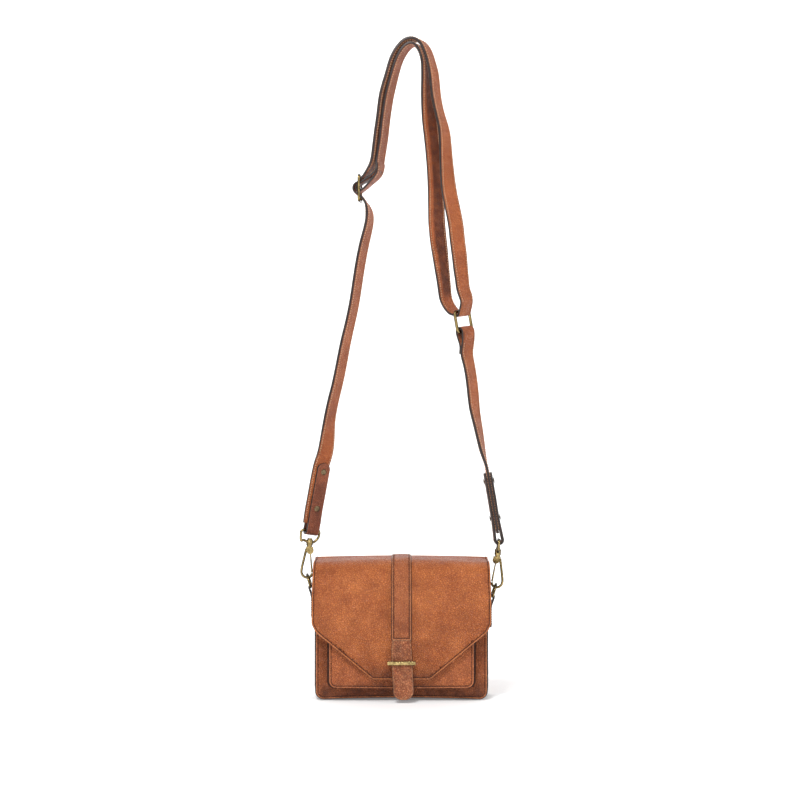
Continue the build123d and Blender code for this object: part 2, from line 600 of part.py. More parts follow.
# long strap: left tab, slider, over the peak, ring, back over the peak, slider
track = stations(left_tab, [(0, up) for up in (20, 40, 60, 80)])
track += run_stations(LEFT_LEG)
track += stations(slider, [(7.4, -17.2), (3.6, -11.4)])
track += arc(slider, 6.9, -98, -250, 10)
track += turned_stations(slider, [(4.0, 12.7, 84), (10.4, 20.7, 76)])
track += run_stations(OUTER_RUN, -1)
track += stations(ring_top, [(13.2, 12.4)])
track += arc(ring_top, RING_WRAP_R, -24, -156, 9)
track += stations(ring_top, [(-13.2, 12.4)])
track += run_stations(reversed(INNER_RUN), 1)
track += turned_stations(slider, [(20.6, 22.0, 70), (15.4, 17.7, 76), (8.2, 11.6, 82)])
track += arc(slider, 3.7, 132, 318, 10)
track += turned_stations(slider, [(6.0, 2.4, 84), (10.9, 8.9, 80), (18.3, 15.3, 74),
                                  (23.6, 20.0, 70)])
save(cut_rivet_holes(ribbon(track, STRAP_W, STRAP_T), left_tab), "long_strap")

# short strap: right tab up to the ring's lower bar and round it
track = stations(right_tab, [(0, up) for up in (20, 40, 60, 80, 88)])
track += run_stations(reversed(SHORT_RUN))
track += stations(ring_low, [(0.6, -16.0), (3.4, -8.0)])
track += arc(ring_low, RING_WRAP_R, 0, 180, 10)
track += stations(ring_low, [(-3.9, -8.0), (-2.9, -16.0), (-5.4, -25.0)])
save(cut_rivet_holes(ribbon(track, STRAP_W, STRAP_T), right_tab), "short_strap")


# ---------------------------------------------------------------- ring and slider
def wire_loop(frame, half_w, half_h, wire_r):
    """Rectangular loop of round wire with rounded corners."""
    radius = HARDWARE_CORNER_R
    mid = radius * CORNER_MID
    corners = []
    for across, up in ((1, 1), (1, -1), (-1, -1), (-1, 1)):
        on_bar = frame.at(width=across * (half_w - radius), up=up * half_h)
        on_side = frame.at(width=across * half_w, up=up * (half_h - radius))
        middle = frame.at(width=across * (half_w - mid), up=up * (half_h - mid))
        corners.append((on_bar, middle, on_side) if across == up else (on_side, middle, on_bar))
    edges = []
    for i, (start, middle, end) in enumerate(corners):
        edges += [ThreePointArc(start, middle, end), Line(end, corners[(i + 1) % 4][0])]
    return rod(Wire(edges), wire_r, corners[0][0], frame.width)


# rectangular ring between the long and short straps
save(wire_loop(ring, RING_HALF_W, RING_HALF_H, RING_WIRE_R), "strap_ring")

# three-bar slider: loop and its centre bar
save(wire_loop(slider, SLIDER_HALF_W, SLIDER_HALF_H, SLIDER_WIRE_R)
     + cyl(slider.at(width=-SLIDER_HALF_W), slider.width, SLIDER_WIRE_R, 2 * SLIDER_HALF_W),
     "strap_slider")
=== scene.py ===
"""A leather shoulder bag with a flap, a front pocket and a doubled strap hanging above it.

The bag stands on z = 0 with its front towards -Y and its left side at -X. Meshes are worked
out in mm and stored in metres; leather sheets are drawn flat and laid on the bag by functions.
"""

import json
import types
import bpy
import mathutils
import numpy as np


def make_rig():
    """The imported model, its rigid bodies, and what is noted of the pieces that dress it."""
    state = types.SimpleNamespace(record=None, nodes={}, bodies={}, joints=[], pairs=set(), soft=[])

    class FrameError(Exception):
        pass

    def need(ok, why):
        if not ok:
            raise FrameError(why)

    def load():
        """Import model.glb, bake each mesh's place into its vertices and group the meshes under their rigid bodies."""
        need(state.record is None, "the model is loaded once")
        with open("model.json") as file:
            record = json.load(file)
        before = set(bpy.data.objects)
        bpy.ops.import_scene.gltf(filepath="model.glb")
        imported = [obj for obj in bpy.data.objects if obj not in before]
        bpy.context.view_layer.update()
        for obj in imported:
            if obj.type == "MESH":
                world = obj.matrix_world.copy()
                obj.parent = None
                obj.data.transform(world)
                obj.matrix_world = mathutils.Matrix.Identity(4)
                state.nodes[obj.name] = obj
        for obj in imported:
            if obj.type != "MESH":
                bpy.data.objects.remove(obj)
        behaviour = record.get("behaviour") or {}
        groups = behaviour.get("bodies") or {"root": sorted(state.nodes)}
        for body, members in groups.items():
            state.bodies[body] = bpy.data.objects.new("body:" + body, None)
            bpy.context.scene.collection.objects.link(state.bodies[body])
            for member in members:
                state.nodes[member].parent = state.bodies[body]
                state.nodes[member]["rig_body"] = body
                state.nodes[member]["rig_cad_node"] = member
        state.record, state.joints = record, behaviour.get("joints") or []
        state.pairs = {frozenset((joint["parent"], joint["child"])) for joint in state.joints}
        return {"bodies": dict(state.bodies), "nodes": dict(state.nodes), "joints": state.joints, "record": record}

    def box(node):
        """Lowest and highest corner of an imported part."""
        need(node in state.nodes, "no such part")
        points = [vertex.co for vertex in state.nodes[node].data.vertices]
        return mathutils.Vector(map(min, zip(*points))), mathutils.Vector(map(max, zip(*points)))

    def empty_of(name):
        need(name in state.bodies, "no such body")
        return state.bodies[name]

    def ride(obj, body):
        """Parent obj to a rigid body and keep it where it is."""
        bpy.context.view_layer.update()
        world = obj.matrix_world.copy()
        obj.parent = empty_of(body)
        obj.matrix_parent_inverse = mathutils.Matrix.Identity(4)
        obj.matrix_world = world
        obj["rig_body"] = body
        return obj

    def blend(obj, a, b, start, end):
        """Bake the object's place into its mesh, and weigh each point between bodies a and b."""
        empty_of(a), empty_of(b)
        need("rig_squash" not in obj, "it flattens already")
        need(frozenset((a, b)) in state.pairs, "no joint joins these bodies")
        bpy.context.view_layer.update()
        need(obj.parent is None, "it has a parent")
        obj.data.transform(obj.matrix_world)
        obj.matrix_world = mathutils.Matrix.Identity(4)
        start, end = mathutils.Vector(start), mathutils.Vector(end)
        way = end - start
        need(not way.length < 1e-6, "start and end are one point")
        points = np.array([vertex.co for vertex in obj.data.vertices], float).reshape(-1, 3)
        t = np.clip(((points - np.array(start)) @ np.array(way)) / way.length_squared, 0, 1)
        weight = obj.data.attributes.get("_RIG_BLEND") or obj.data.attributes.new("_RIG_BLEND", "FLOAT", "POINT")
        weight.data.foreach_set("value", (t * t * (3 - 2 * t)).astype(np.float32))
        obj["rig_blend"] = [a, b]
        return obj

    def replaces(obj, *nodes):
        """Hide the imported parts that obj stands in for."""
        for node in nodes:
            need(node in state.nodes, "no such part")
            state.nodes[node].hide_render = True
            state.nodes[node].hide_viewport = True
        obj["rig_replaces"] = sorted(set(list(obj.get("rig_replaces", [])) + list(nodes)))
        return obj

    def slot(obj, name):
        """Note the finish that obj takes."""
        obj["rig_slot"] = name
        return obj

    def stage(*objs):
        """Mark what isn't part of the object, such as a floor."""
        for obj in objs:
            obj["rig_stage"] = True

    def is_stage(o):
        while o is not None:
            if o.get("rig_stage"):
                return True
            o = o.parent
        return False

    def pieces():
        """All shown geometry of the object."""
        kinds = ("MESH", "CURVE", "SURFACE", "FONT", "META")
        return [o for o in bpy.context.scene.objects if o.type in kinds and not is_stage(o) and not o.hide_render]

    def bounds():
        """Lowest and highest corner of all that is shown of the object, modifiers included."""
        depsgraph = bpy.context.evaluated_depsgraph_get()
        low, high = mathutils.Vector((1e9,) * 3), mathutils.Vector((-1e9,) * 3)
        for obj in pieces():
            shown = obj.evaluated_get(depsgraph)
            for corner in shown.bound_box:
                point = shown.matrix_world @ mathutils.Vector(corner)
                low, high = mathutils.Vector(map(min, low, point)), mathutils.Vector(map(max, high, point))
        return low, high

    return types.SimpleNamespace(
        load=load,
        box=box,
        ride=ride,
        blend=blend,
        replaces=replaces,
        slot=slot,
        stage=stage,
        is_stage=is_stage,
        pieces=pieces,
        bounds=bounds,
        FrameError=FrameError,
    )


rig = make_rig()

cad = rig.load()
import bpy
import bmesh
import json
import math
import random
import numpy as np
from mathutils import Vector, noise
from mathutils.geometry import delaunay_2d_cdt

CAD_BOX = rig.bounds()
MM = 0.001
random.seed(7)
scene = bpy.context.scene


# ============================================================ small helpers
def mm_box(node):
    """Low and high corners of a CAD piece, in mm."""
    low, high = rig.box(node)
    return [c * 1000 for c in low], [c * 1000 for c in high]


def mm_centre(node):
    low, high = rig.box(node)
    return [(a + b) * 500 for a, b in zip(low, high)]


def clamp(value, low, high):
    return min(high, max(low, value))


def ease(start, end, x):
    """Smooth step from 0 at start to 1 at end."""
    t = min(1.0, max(0.0, (x - start) / (end - start)))
    return t * t * (3 - 2 * t)


def fade(start, end, x):
    return 1 - ease(start, end, x)


def arch(x, half):
    """Parabola: 1 in the middle, 0 from half outward."""
    return max(0, 1 - (x / half) ** 2)


def swell(x, start, length):
    """Half a sine wave over the given length, 0 outside it."""
    return math.sin(math.pi * clamp((x - start) / length, 0, 1))


def bell(x, middle, width):
    return math.exp(-((x - middle) / width) ** 2)


def noise_at(x, y, z, scale, seed):
    return noise.noise(Vector((x / scale + seed, y / scale - seed * 0.7, z / scale + seed * 1.3)))


def unit(vector):
    return vector / np.linalg.norm(vector)


# ============================================================ materials
def srgb(*rgb):
    """Linear RGBA from 0-255 sRGB values."""
    values = [c / 255.0 for c in rgb]
    return (*(c / 12.92 if c <= 0.04045 else ((c + 0.055) / 1.055) ** 2.4 for c in values), 1.0)


def scaled(colour, factor, lift=0.0):
    return tuple(min(1.0, c * factor + lift) for c in colour[:3]) + (1.0,)


class Shader:
    """A material with one Principled surface, and short calls for the nodes that feed it.
    Any value may be a number, a colour or a node's output."""

    def __init__(self, name):
        self.material = bpy.data.materials.new(name)
        self.material.use_nodes = True
        self.tree = self.material.node_tree
        self.tree.nodes.clear()
        output = self.node("OutputMaterial")
        self.surface = self.node("BsdfPrincipled")
        self.feed(output.inputs[0], self.surface.outputs[0])

    def node(self, kind):
        return self.tree.nodes.new("ShaderNode" + kind)

    def feed(self, socket, value):
        if isinstance(value, bpy.types.NodeSocket):
            self.tree.links.new(value, socket)
        else:
            socket.default_value = value

    def set(self, name, value):
        self.feed(self.surface.inputs[name], value)

    def attribute(self, name, output="Fac"):
        node = self.node("Attribute")
        node.attribute_name = name
        return node.outputs[output]

    def coords(self, from_object=False):
        """The object's own coordinates, or the ones stored with a built mesh."""
        if from_object:
            return self.node("TexCoord").outputs["Object"]
        return self.attribute("rest", "Vector")

    def noise(self, coords, scale, detail, rough, distort=0.0):
        node = self.node("TexNoise")
        node.inputs["Scale"].default_value = scale
        node.inputs["Detail"].default_value = detail
        node.inputs["Roughness"].default_value = rough
        node.inputs["Distortion"].default_value = distort
        self.feed(node.inputs["Vector"], coords)
        return node.outputs["Fac"]

    def voronoi(self, coords, scale, feature):
        node = self.node("TexVoronoi")
        node.feature = feature
        node.inputs["Scale"].default_value = scale
        self.feed(node.inputs["Vector"], coords)
        return node.outputs["Distance"]

    def remap(self, value, low, high, to_low=0.0, to_high=1.0):
        node = self.node("MapRange")
        for i, limit in enumerate((low, high, to_low, to_high)):
            node.inputs[i + 1].default_value = limit
        self.feed(node.inputs[0], value)
        return node.outputs[0]

    def mix(self, amount, first, second):
        node = self.node("Mix")
        node.data_type = "RGBA"
        for i, value in ((0, amount), (6, first), (7, second)):
            self.feed(node.inputs[i], value)
        return node.outputs[2]

    def math(self, operation, *values):
        node = self.node("Math")
        node.operation = operation
        for socket, value in zip(node.inputs, values):
            self.feed(socket, value)
        return node.outputs[0]

    def times(self, first, second):
        return self.math("MULTIPLY", first, second)

    def add(self, first, second):
        return self.math("ADD", first, second)

    def facing(self, blend):
        node = self.node("LayerWeight")
        node.inputs[0].default_value = blend
        return node.outputs["Facing"]

    def bump(self, height, distance, strength, normal=None):
        """Bump of a distance in mm, laid over an earlier one if given."""
        node = self.node("Bump")
        node.inputs["Strength"].default_value = strength
        node.inputs["Distance"].default_value = distance * MM
        self.feed(node.inputs["Height"], height)
        if normal is not None:
            self.feed(node.inputs["Normal"], normal)
        return node.outputs[0]


def leather(name, base, dark, light, *, grain, depth, rough, mottling, crinkle=0.0, sheen=0.0):
    """Pebbled leather. grain is the size of the pebbles; depth and crinkle are heights in mm."""
    mat = Shader(name)
    coords = mat.coords()
    big = mat.noise(coords, scale=28, detail=3, rough=0.6)
    mid = mat.noise(coords, scale=130, detail=4, rough=0.6)
    fine = mat.noise(coords, scale=900 / grain, detail=3, rough=0.6)
    # pebble grain: cells drawn on slightly warped coordinates
    warp = mat.noise(coords, scale=260, detail=2, rough=0.5)
    shift = mat.node("VectorMath")
    shift.operation = "MULTIPLY_ADD"
    triple = mat.node("CombineXYZ")
    for socket in triple.inputs:
        mat.feed(socket, warp)
    mat.feed(shift.inputs[0], triple.outputs[0])
    shift.inputs[1].default_value = (0.0022, 0.0012, 0.0022)   # reach of the warp, metres
    mat.feed(shift.inputs[2], coords)
    warped = shift.outputs[0]
    cells = mat.voronoi(warped, scale=1000 / grain, feature="DISTANCE_TO_EDGE")
    pebble = mat.remap(cells, 0.0, 0.32)
    small = mat.voronoi(warped, scale=2200 / grain, feature="F1")
    shade = mat.attribute("shade")
    wear = mat.attribute("wear")
    # broad tones, then mottling
    tone = mat.remap(big, 0.32, 0.68)
    mottle = mat.remap(mid, 0.30, 0.72)
    colour = mat.mix(tone, dark, light)
    colour = mat.mix(0.62, colour, base)
    colour = mat.mix(mat.times(mottle, mottling * 0.55), colour, dark)
    # creases of the grain are darker, partly dye and partly painted shade; pebble tops and fine flecks are lighter, a
    # painted highlight
    crease = mat.remap(cells, 0.0, 0.16, 1.0, 0.0)
    colour = mat.mix(mat.times(crease, 0.62), colour, dark)
    colour = mat.mix(mat.times(mat.remap(cells, 0.12, 0.42), 0.26), colour, light)
    colour = mat.mix(mat.times(mat.remap(fine, 0.5, 0.75), 0.30), colour, light)
    # burnish and painted shade from the mesh's shade attribute, and lighter rims from its wear
    burnish_and_painted_shade = mat.times(shade, mat.remap(mid, 0.2, 0.6, 0.65, 1.0))
    colour = mat.mix(burnish_and_painted_shade, colour, scaled(dark, 0.34))
    rim = mat.times(wear, mat.remap(fine, 0.35, 0.6, 0.3, 1.0))
    colour = mat.mix(mat.times(rim, 0.5), colour, scaled(light, 1.25, lift=0.02))
    # at a slant the colour is darkened towards the dark tone, a painted shade, and the surface mirrors less of the
    # backdrop
    slant = mat.remap(mat.facing(0.5), 0.35, 0.95)
    colour = mat.mix(mat.times(slant, 0.45), colour, dark)
    mat.set("Specular IOR Level", mat.remap(slant, 0.0, 1.0, 0.32, 0.04))
    mat.set("Base Color", colour)
    mat.set("Roughness", mat.add(mat.remap(mottle, 0, 1, rough - 0.06, rough + 0.10),
                                 mat.times(crease, 0.12)))
    mat.set("Sheen Weight", sheen)
    mat.set("Sheen Roughness", 0.45)
    mat.set("Sheen Tint", (1.0, 0.90, 0.84, 1))
    height = mat.add(pebble, mat.times(small, 0.35))
    height = mat.add(height, mat.times(fine, 0.5))
    normal = mat.bump(height, distance=depth, strength=0.9)
    soft = mat.add(mat.times(mid, 0.6), mat.noise(coords, scale=60, detail=2, rough=0.5))
    normal = mat.bump(soft, distance=0.7, strength=0.8, normal=normal)
    if crinkle > 0:
        folds = mat.noise(coords, scale=420, detail=5, rough=0.68, distort=1.5)
        ridge = mat.math("ABSOLUTE", mat.math("SUBTRACT", folds, 0.5))
        normal = mat.bump(ridge, distance=crinkle, strength=1.0, normal=normal)
    mat.set("Normal", normal)
    return mat.material


def edge_paint(name, colour, bright):
    mat = Shader(name)
    coords = mat.coords()
    speckle = mat.noise(coords, scale=420, detail=4, rough=0.65)
    patches = mat.noise(coords, scale=90, detail=2, rough=0.5)
    mixed = mat.mix(mat.remap(speckle, 0.42, 0.75), colour, bright)
    mixed = mat.mix(mat.times(mat.remap(patches, 0.5, 0.75), 0.5), mixed, bright)
    mat.set("Base Color", mixed)
    mat.set("Roughness", mat.remap(speckle, 0.2, 0.8, 0.38, 0.62))
    height = mat.add(speckle, mat.noise(coords, scale=1500, detail=3, rough=0.6))
    mat.set("Normal", mat.bump(height, distance=0.10, strength=0.8))
    return mat.material


def thread(name, colour, dark):
    mat = Shader(name)
    fibre = mat.noise(mat.coords(), scale=3200, detail=2, rough=0.6)
    mat.set("Base Color", mat.mix(mat.remap(fibre, 0.35, 0.65), dark, colour))
    mat.set("Roughness", 0.72)
    mat.set("Normal", mat.bump(fibre, distance=0.12, strength=1.0))
    return mat.material


def metal(name, light, dark, *, rough, tarnish, from_object=True):
    """Tarnished metal, darker in its hollows, with a painted dark reflection where it turns away from the eye."""
    mat = Shader(name)
    coords = mat.coords(from_object)
    broad = mat.noise(coords, scale=190, detail=4, rough=0.62)
    fine = mat.noise(coords, scale=900, detail=3, rough=0.6)
    geometry = mat.node("NewGeometry")
    patch = mat.remap(mat.add(mat.times(broad, 0.7), mat.times(fine, 0.3)), 0.40, 0.62)
    colour = mat.mix(mat.times(patch, tarnish), light, dark)
    raised = mat.remap(geometry.outputs["Pointiness"], 0.46, 0.54)
    colour = mat.mix(mat.times(mat.math("SUBTRACT", 1.0, raised), 0.45), colour, dark)
    # painted dark reflection: the colour darkens where the surface turns away from the eye
    slant = mat.remap(mat.facing(0.42), 0.06, 0.40, 0.0, 0.96)
    colour = mat.mix(slant, colour, scaled(dark, 0.14))
    mat.set("Base Color", colour)
    mat.set("Metallic", 1.0)
    mat.set("Roughness", mat.remap(broad, 0.3, 0.7, rough - 0.06, rough + 0.20))
    height = mat.add(fine, mat.noise(coords, scale=2600, detail=2, rough=0.7))
    mat.set("Normal", mat.bump(height, distance=0.035, strength=0.8))
    return mat.material


def cloth(name, base, dark):
    """Plain weave: two crossed sine waves."""
    mat = Shader(name)
    coords = mat.coords()
    axes = mat.node("SeparateXYZ")
    mat.feed(axes.inputs[0], coords)
    weave_length = 0.0009 * 1.1          # metres from thread to thread
    waves = 2 * math.pi / weave_length

    def wave(axis, depth_share):
        along = mat.add(axes.outputs[axis], mat.times(axes.outputs[1], depth_share))
        return mat.math("SINE", mat.times(along, waves))

    across = wave(0, 1.0)
    weave = mat.times(across, wave(2, 0.5))
    stain = mat.noise(coords, scale=160, detail=4, rough=0.6)
    colour = mat.mix(mat.remap(weave, -1, 1), dark, base)
    colour = mat.mix(mat.times(mat.remap(stain, 0.35, 0.7), 0.35), colour, dark)
    mat.set("Base Color", colour)
    mat.set("Roughness", 0.85)
    mat.set("Sheen Weight", 0.3)
    normal = mat.bump(weave, distance=0.10, strength=0.7)
    ripple = mat.noise(coords, scale=55, detail=3, rough=0.5)
    mat.set("Normal", mat.bump(ripple, distance=0.8, strength=0.6, normal=normal))
    return mat.material


# colours are base, dark, light
FLAP = leather("flap_leather", srgb(192, 104, 52), srgb(122, 54, 24), srgb(232, 144, 82),
               grain=2.2, depth=0.75, rough=0.33, mottling=0.45)
# gusset leather kept dark as painted shade, for sides that are seen in shadow
SIDE_PAINTED_SHADE = leather("side_leather", srgb(100, 54, 34), srgb(50, 25, 17), srgb(124, 72, 48),
               grain=2.6, depth=0.6, rough=0.45, mottling=0.7, sheen=0.03)
BODY = leather("body_leather", srgb(198, 108, 60), srgb(112, 52, 28), srgb(224, 138, 84),
               grain=2.3, depth=0.85, rough=0.35, mottling=0.6)
STRIP = leather("strip_leather", srgb(190, 104, 58), srgb(116, 54, 30), srgb(228, 146, 92),
                grain=2.1, depth=0.7, rough=0.32, crinkle=0.3, mottling=0.6)
TAB = leather("tab_leather", srgb(206, 110, 64), srgb(96, 40, 22), srgb(250, 178, 128),
              grain=2.5, depth=0.8, rough=0.26, crinkle=1.1, mottling=0.9, sheen=0.04)
STRAP = leather("strap_leather", srgb(178, 94, 50), srgb(136, 66, 32), srgb(226, 138, 82),
                grain=2.4, depth=0.62, rough=0.35, mottling=0.45, sheen=0.03)
END_TAB = leather("end_tab_leather", srgb(158, 82, 50), srgb(84, 38, 24), srgb(196, 120, 82),
                  grain=1.7, depth=0.36, rough=0.36, crinkle=0.3, mottling=0.8, sheen=0.12)
FLESH = leather("flesh_side", srgb(150, 100, 70), srgb(110, 70, 48), srgb(176, 126, 92),
                grain=0.9, depth=0.10, rough=0.75, mottling=0.6, sheen=0.2)
EDGE = edge_paint("edge_paint_dark", srgb(34, 24, 22), srgb(66, 48, 42))
EDGE_WORN = edge_paint("edge_paint_worn", srgb(74, 38, 26), srgb(150, 92, 64))
THREAD_DARK = thread("thread_dark", srgb(74, 32, 20), srgb(34, 14, 10))
THREAD_TAN = thread("thread_tan", srgb(250, 206, 166), srgb(170, 108, 76))
BRASS = metal("antique_brass", srgb(206, 180, 122), srgb(74, 57, 30), rough=0.18, tarnish=0.75)
# brass for built meshes; no piece wears it at present
metal("antique_brass_fitted", srgb(214, 190, 122), srgb(96, 76, 42),
      rough=0.24, tarnish=0.6, from_object=False)
RIVET = metal("rivet_cap", srgb(160, 138, 106), srgb(58, 46, 34),
              rough=0.3, tarnish=0.9, from_object=False)
STEEL = metal("plain_steel", srgb(190, 190, 188), srgb(110, 108, 104), rough=0.32, tarnish=0.35)
LINING = cloth("lining_cloth", srgb(112, 84, 62), srgb(70, 50, 36))


# ============================================================ mesh helpers
def fix_normals(piece):
    bm = bmesh.new()
    bm.from_mesh(piece.data)
    bmesh.ops.recalc_face_normals(bm, faces=bm.faces)
    bm.to_mesh(piece.data)
    bm.free()


def make_object(name, verts, faces, mats, slots=None, attributes=None, rest=None):
    """A smooth mesh object from points in mm. rest holds the texture coordinates, if they
    differ from the points."""
    points = np.asarray(verts, float) * MM
    mesh = bpy.data.meshes.new(name)
    mesh.from_pydata([tuple(p) for p in points], [], [tuple(f) for f in faces])
    for mat in mats:
        mesh.materials.append(mat)
    if slots is not None:
        mesh.polygons.foreach_set("material_index", np.asarray(slots, np.int32))
    mesh.polygons.foreach_set("use_smooth", [True] * len(mesh.polygons))
    coords = points if rest is None else np.asarray(rest, float) * MM
    stored = mesh.attributes.new("rest", "FLOAT_VECTOR", "POINT")
    stored.data.foreach_set("vector", coords.astype(np.float32).ravel())
    for key, values in (attributes or {}).items():
        stored = mesh.attributes.new(key, "FLOAT", "POINT")
        stored.data.foreach_set("value", np.asarray(values, np.float32))
    mesh.validate()
    mesh.update()
    piece = bpy.data.objects.new(name, mesh)
    scene.collection.objects.link(piece)
    fix_normals(piece)
    return piece


def join(parts, name):
    """Gathers the parts into the first one."""
    bm = bmesh.new()
    for part in parts:
        bm.from_mesh(part.data)
    bm.to_mesh(parts[0].data)
    bm.free()
    for part in parts[1:]:
        bpy.data.objects.remove(part)
    parts[0].name = name
    return parts[0]


def put(piece, body, node=None, slot=None):
    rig.ride(piece, body)
    if node:
        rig.replaces(piece, node)
    if slot:
        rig.slot(piece, slot)


def rect(x0, x1, y0, y1):
    return [(x0, y0), (x1, y0), (x1, y1), (x0, y1)]


def mirrored(left):
    """Closes a left-hand half outline with its mirror image."""
    return left + [(-x, y) for x, y in reversed(left)]


def outline(points, radii, inset=0.0, step=1.6):
    """Closed outline with rounded corners, inset by a distance.
    The number of points doesn't depend on the inset."""
    n = len(points)
    ends = [np.array(p, float) for p in points]
    area = sum(ends[i][0] * ends[(i + 1) % n][1] - ends[(i + 1) % n][0] * ends[i][1]
               for i in range(n))
    turn = 1.0 if area > 0 else -1.0
    moved = []
    for i in range(n):
        before, after = unit(ends[i] - ends[i - 1]), unit(ends[(i + 1) % n] - ends[i])
        normal0 = np.array([-before[1], before[0]]) * turn
        normal1 = np.array([-after[1], after[0]]) * turn
        moved.append(ends[i] + (normal0 + normal1) / (1 + float(normal0 @ normal1)) * inset)

    def fillets(corners, sizes):
        """Start, end, centre, radius and sweep of the arc at each corner."""
        arcs = []
        for i in range(n):
            a, b = corners[i - 1] - corners[i], corners[(i + 1) % n] - corners[i]
            len_a, len_b = np.linalg.norm(a), np.linalg.norm(b)
            a, b = a / len_a, b / len_b
            angle = math.acos(max(-1, min(1, float(a @ b))))
            radius = max(sizes[i], 0.02)
            cut = min(radius / math.tan(angle / 2), 0.48 * len_a, 0.48 * len_b)
            radius = cut * math.tan(angle / 2)
            centre = corners[i] + (a + b) / np.linalg.norm(a + b) * (radius / math.sin(angle / 2))
            arcs.append((corners[i] + a * cut, corners[i] + b * cut, centre, radius,
                         math.pi - angle))
        return arcs

    base = fillets(ends, radii)
    inner = fillets(moved, [r - inset for r in radii])
    result = []
    for i in range(n):
        start, end, centre, radius, _ = inner[i]
        count = max(3, int(math.ceil(base[i][3] * base[i][4] / step)))
        a, b = start - centre, end - centre
        first = math.atan2(a[1], a[0])
        sweep = math.atan2(a[0] * b[1] - a[1] * b[0], float(a @ b))
        for k in range(count + 1):
            t = first + sweep * k / count
            result.append(centre + radius * np.array([math.cos(t), math.sin(t)]))
        length = np.linalg.norm(base[(i + 1) % n][0] - base[i][1])
        count = max(1, int(math.ceil(length / step)))
        following = inner[(i + 1) % n][0]
        for k in range(1, count):
            result.append(end + (following - end) * k / count)
    result = np.array(result)
    return result if turn > 0 else result[::-1]


def inside(ring, points):
    """Even-odd test of points against a closed ring."""
    x, y = points[:, 0], points[:, 1]
    found = np.zeros(len(points), bool)
    for (xi, yi), (xj, yj) in zip(ring, np.roll(ring, 1, axis=0)):
        if yi != yj:
            crosses = (yi > y) != (yj > y)
            found ^= crosses & (x < (xj - xi) * (y - yi) / (yj - yi) + xi)
    return found


def fill(ring, columns, rows, gap):
    """Triangles that fill a ring, over a grid of points kept a gap away from it.
    Returns the grid points and the faces, numbered ring first and then grid."""
    grid = np.array([(x, y) for x in columns for y in rows])
    grid = grid[inside(ring, grid)]
    keep = np.ones(len(grid), bool)
    for i in range(0, len(grid), 400):
        part = grid[i:i + 400]
        distance = np.sqrt(((part[:, None] - ring[None]) ** 2).sum(-1)).min(1)
        keep[i:i + 400] = distance > gap
    grid = grid[keep]
    points = [Vector(p) for p in np.vstack([ring, grid])]
    cdt = delaunay_2d_cdt(points, [], [list(range(len(ring)))], 1, 1e-5, True)
    original = [source[0] for source in cdt[3]]
    return grid, [[original[i] for i in face] for face in cdt[2]]


# Wear of a sheet's first front rings, from the middle of the edge inward
RING_WEAR = (0.0, 0.1, 0.5, 0.9, 0.45)
# Extra shade on the rings in the sewing groove: ring number, amount
GROOVE_SHADE = ((5, 0.5), (6, 0.75), (7, 0.5))


def sheet(name, points, radii, thick, place, mats, spacing, rows=None, stitch=0, groove=0.0,
          step=1.6, shade=None, edge=None, rim=1.0, edge_rings=2):
    """A leather sheet with rounded painted edges, laid by place(u, v, height).
    mats are front, edge and back; stitch is the inset of the sewing groove, 0 for none;
    edge is the radius of the rounding and rim scales the wear."""
    half = thick / 2
    edge = min(half, edge or half)
    rounding = [(0.0, half - edge)] + [
        (edge * (1 - math.cos(a)), half - edge + edge * math.sin(a))
        for a in map(math.radians, (28, 55, 90))]
    front = list(rounding)
    if stitch:
        front += [(max(stitch - 0.9, edge + 0.15), half), (stitch - 0.38, half - groove * 0.75),
                  (stitch, half - groove), (stitch + 0.38, half - groove * 0.75),
                  (stitch + 0.9, half)]
    base = outline(points, radii, 0.0, step)
    n = len(base)
    low, high = base.min(0), base.max(0)
    columns = np.arange(low[0], high[0] + spacing, spacing)
    if rows is None:
        rows = np.arange(low[1], high[1] + spacing, spacing)
    drawn, wear, faces, slots = [], [], [], []

    def add_ring(inset, height, worn=0.0):
        start = len(drawn)
        drawn.extend((u, v, height) for u, v in outline(points, radii, inset, step))
        wear.extend([worn] * n)
        return start

    def add_wall(last, new, slot, back):
        for i in range(n):
            j = (i + 1) % n
            quad = (last + i, last + j, new + j, new + i)
            faces.append((quad[1], quad[0], quad[3], quad[2]) if back else quad)
            slots.append(slot)

    def add_fill(start, inset, height, slot, back):
        grid, triangles = fill(outline(points, radii, inset, step), columns, rows, spacing * 0.45)
        drawn.extend((u, v, height) for u, v in grid)
        wear.extend([0.0] * len(grid))
        for triangle in triangles:
            face = tuple(start + i for i in triangle)
            faces.append(face[::-1] if back else face)
            slots.append(slot)

    for k, (inset, height) in enumerate(front):
        new = add_ring(inset, height, (RING_WEAR[k] if k < len(RING_WEAR) else 0.0) * rim)
        if k:
            add_wall(last, new, 1 if k <= edge_rings else 0, back=False)
        last = new
    add_fill(last, front[-1][0], half, 0, back=False)

    last = 0
    for k, (inset, height) in enumerate(rounding):
        if k == 0 and abs(height) < 1e-9:
            continue                     # front and back share the middle ring
        new = add_ring(inset, -height)
        add_wall(last, new, 1 if k <= 2 else 2, back=True)
        last = new
    add_fill(last, rounding[-1][0], -half, 2, back=True)

    verts = [place(*point) for point in drawn]
    shades = [shade(u, v) if shade else 0.0 for u, v, _ in drawn]
    if stitch:
        for k, extra in GROOVE_SHADE:
            for i in range(k * n, k * n + n):
                shades[i] = min(0.9, shades[i] + extra)
    return make_object(name, verts, faces, mats, slots, {"wear": wear, "shade": shades})


# One stitch, end to end: place along its length, share of its radius, lift in radii
STITCH_PROFILE = ((-0.5, 0.35, -0.55), (-0.36, 0.85, -0.05), (0.0, 1.0, 0.22),
                  (0.36, 0.85, -0.05), (0.5, 0.35, -0.55))
STITCH_RADIUS = 0.46
STITCH_LIFT = 0.35      # in radii, above the line
STITCH_TILT = math.radians(12.0)
STITCH_SIDES = 6


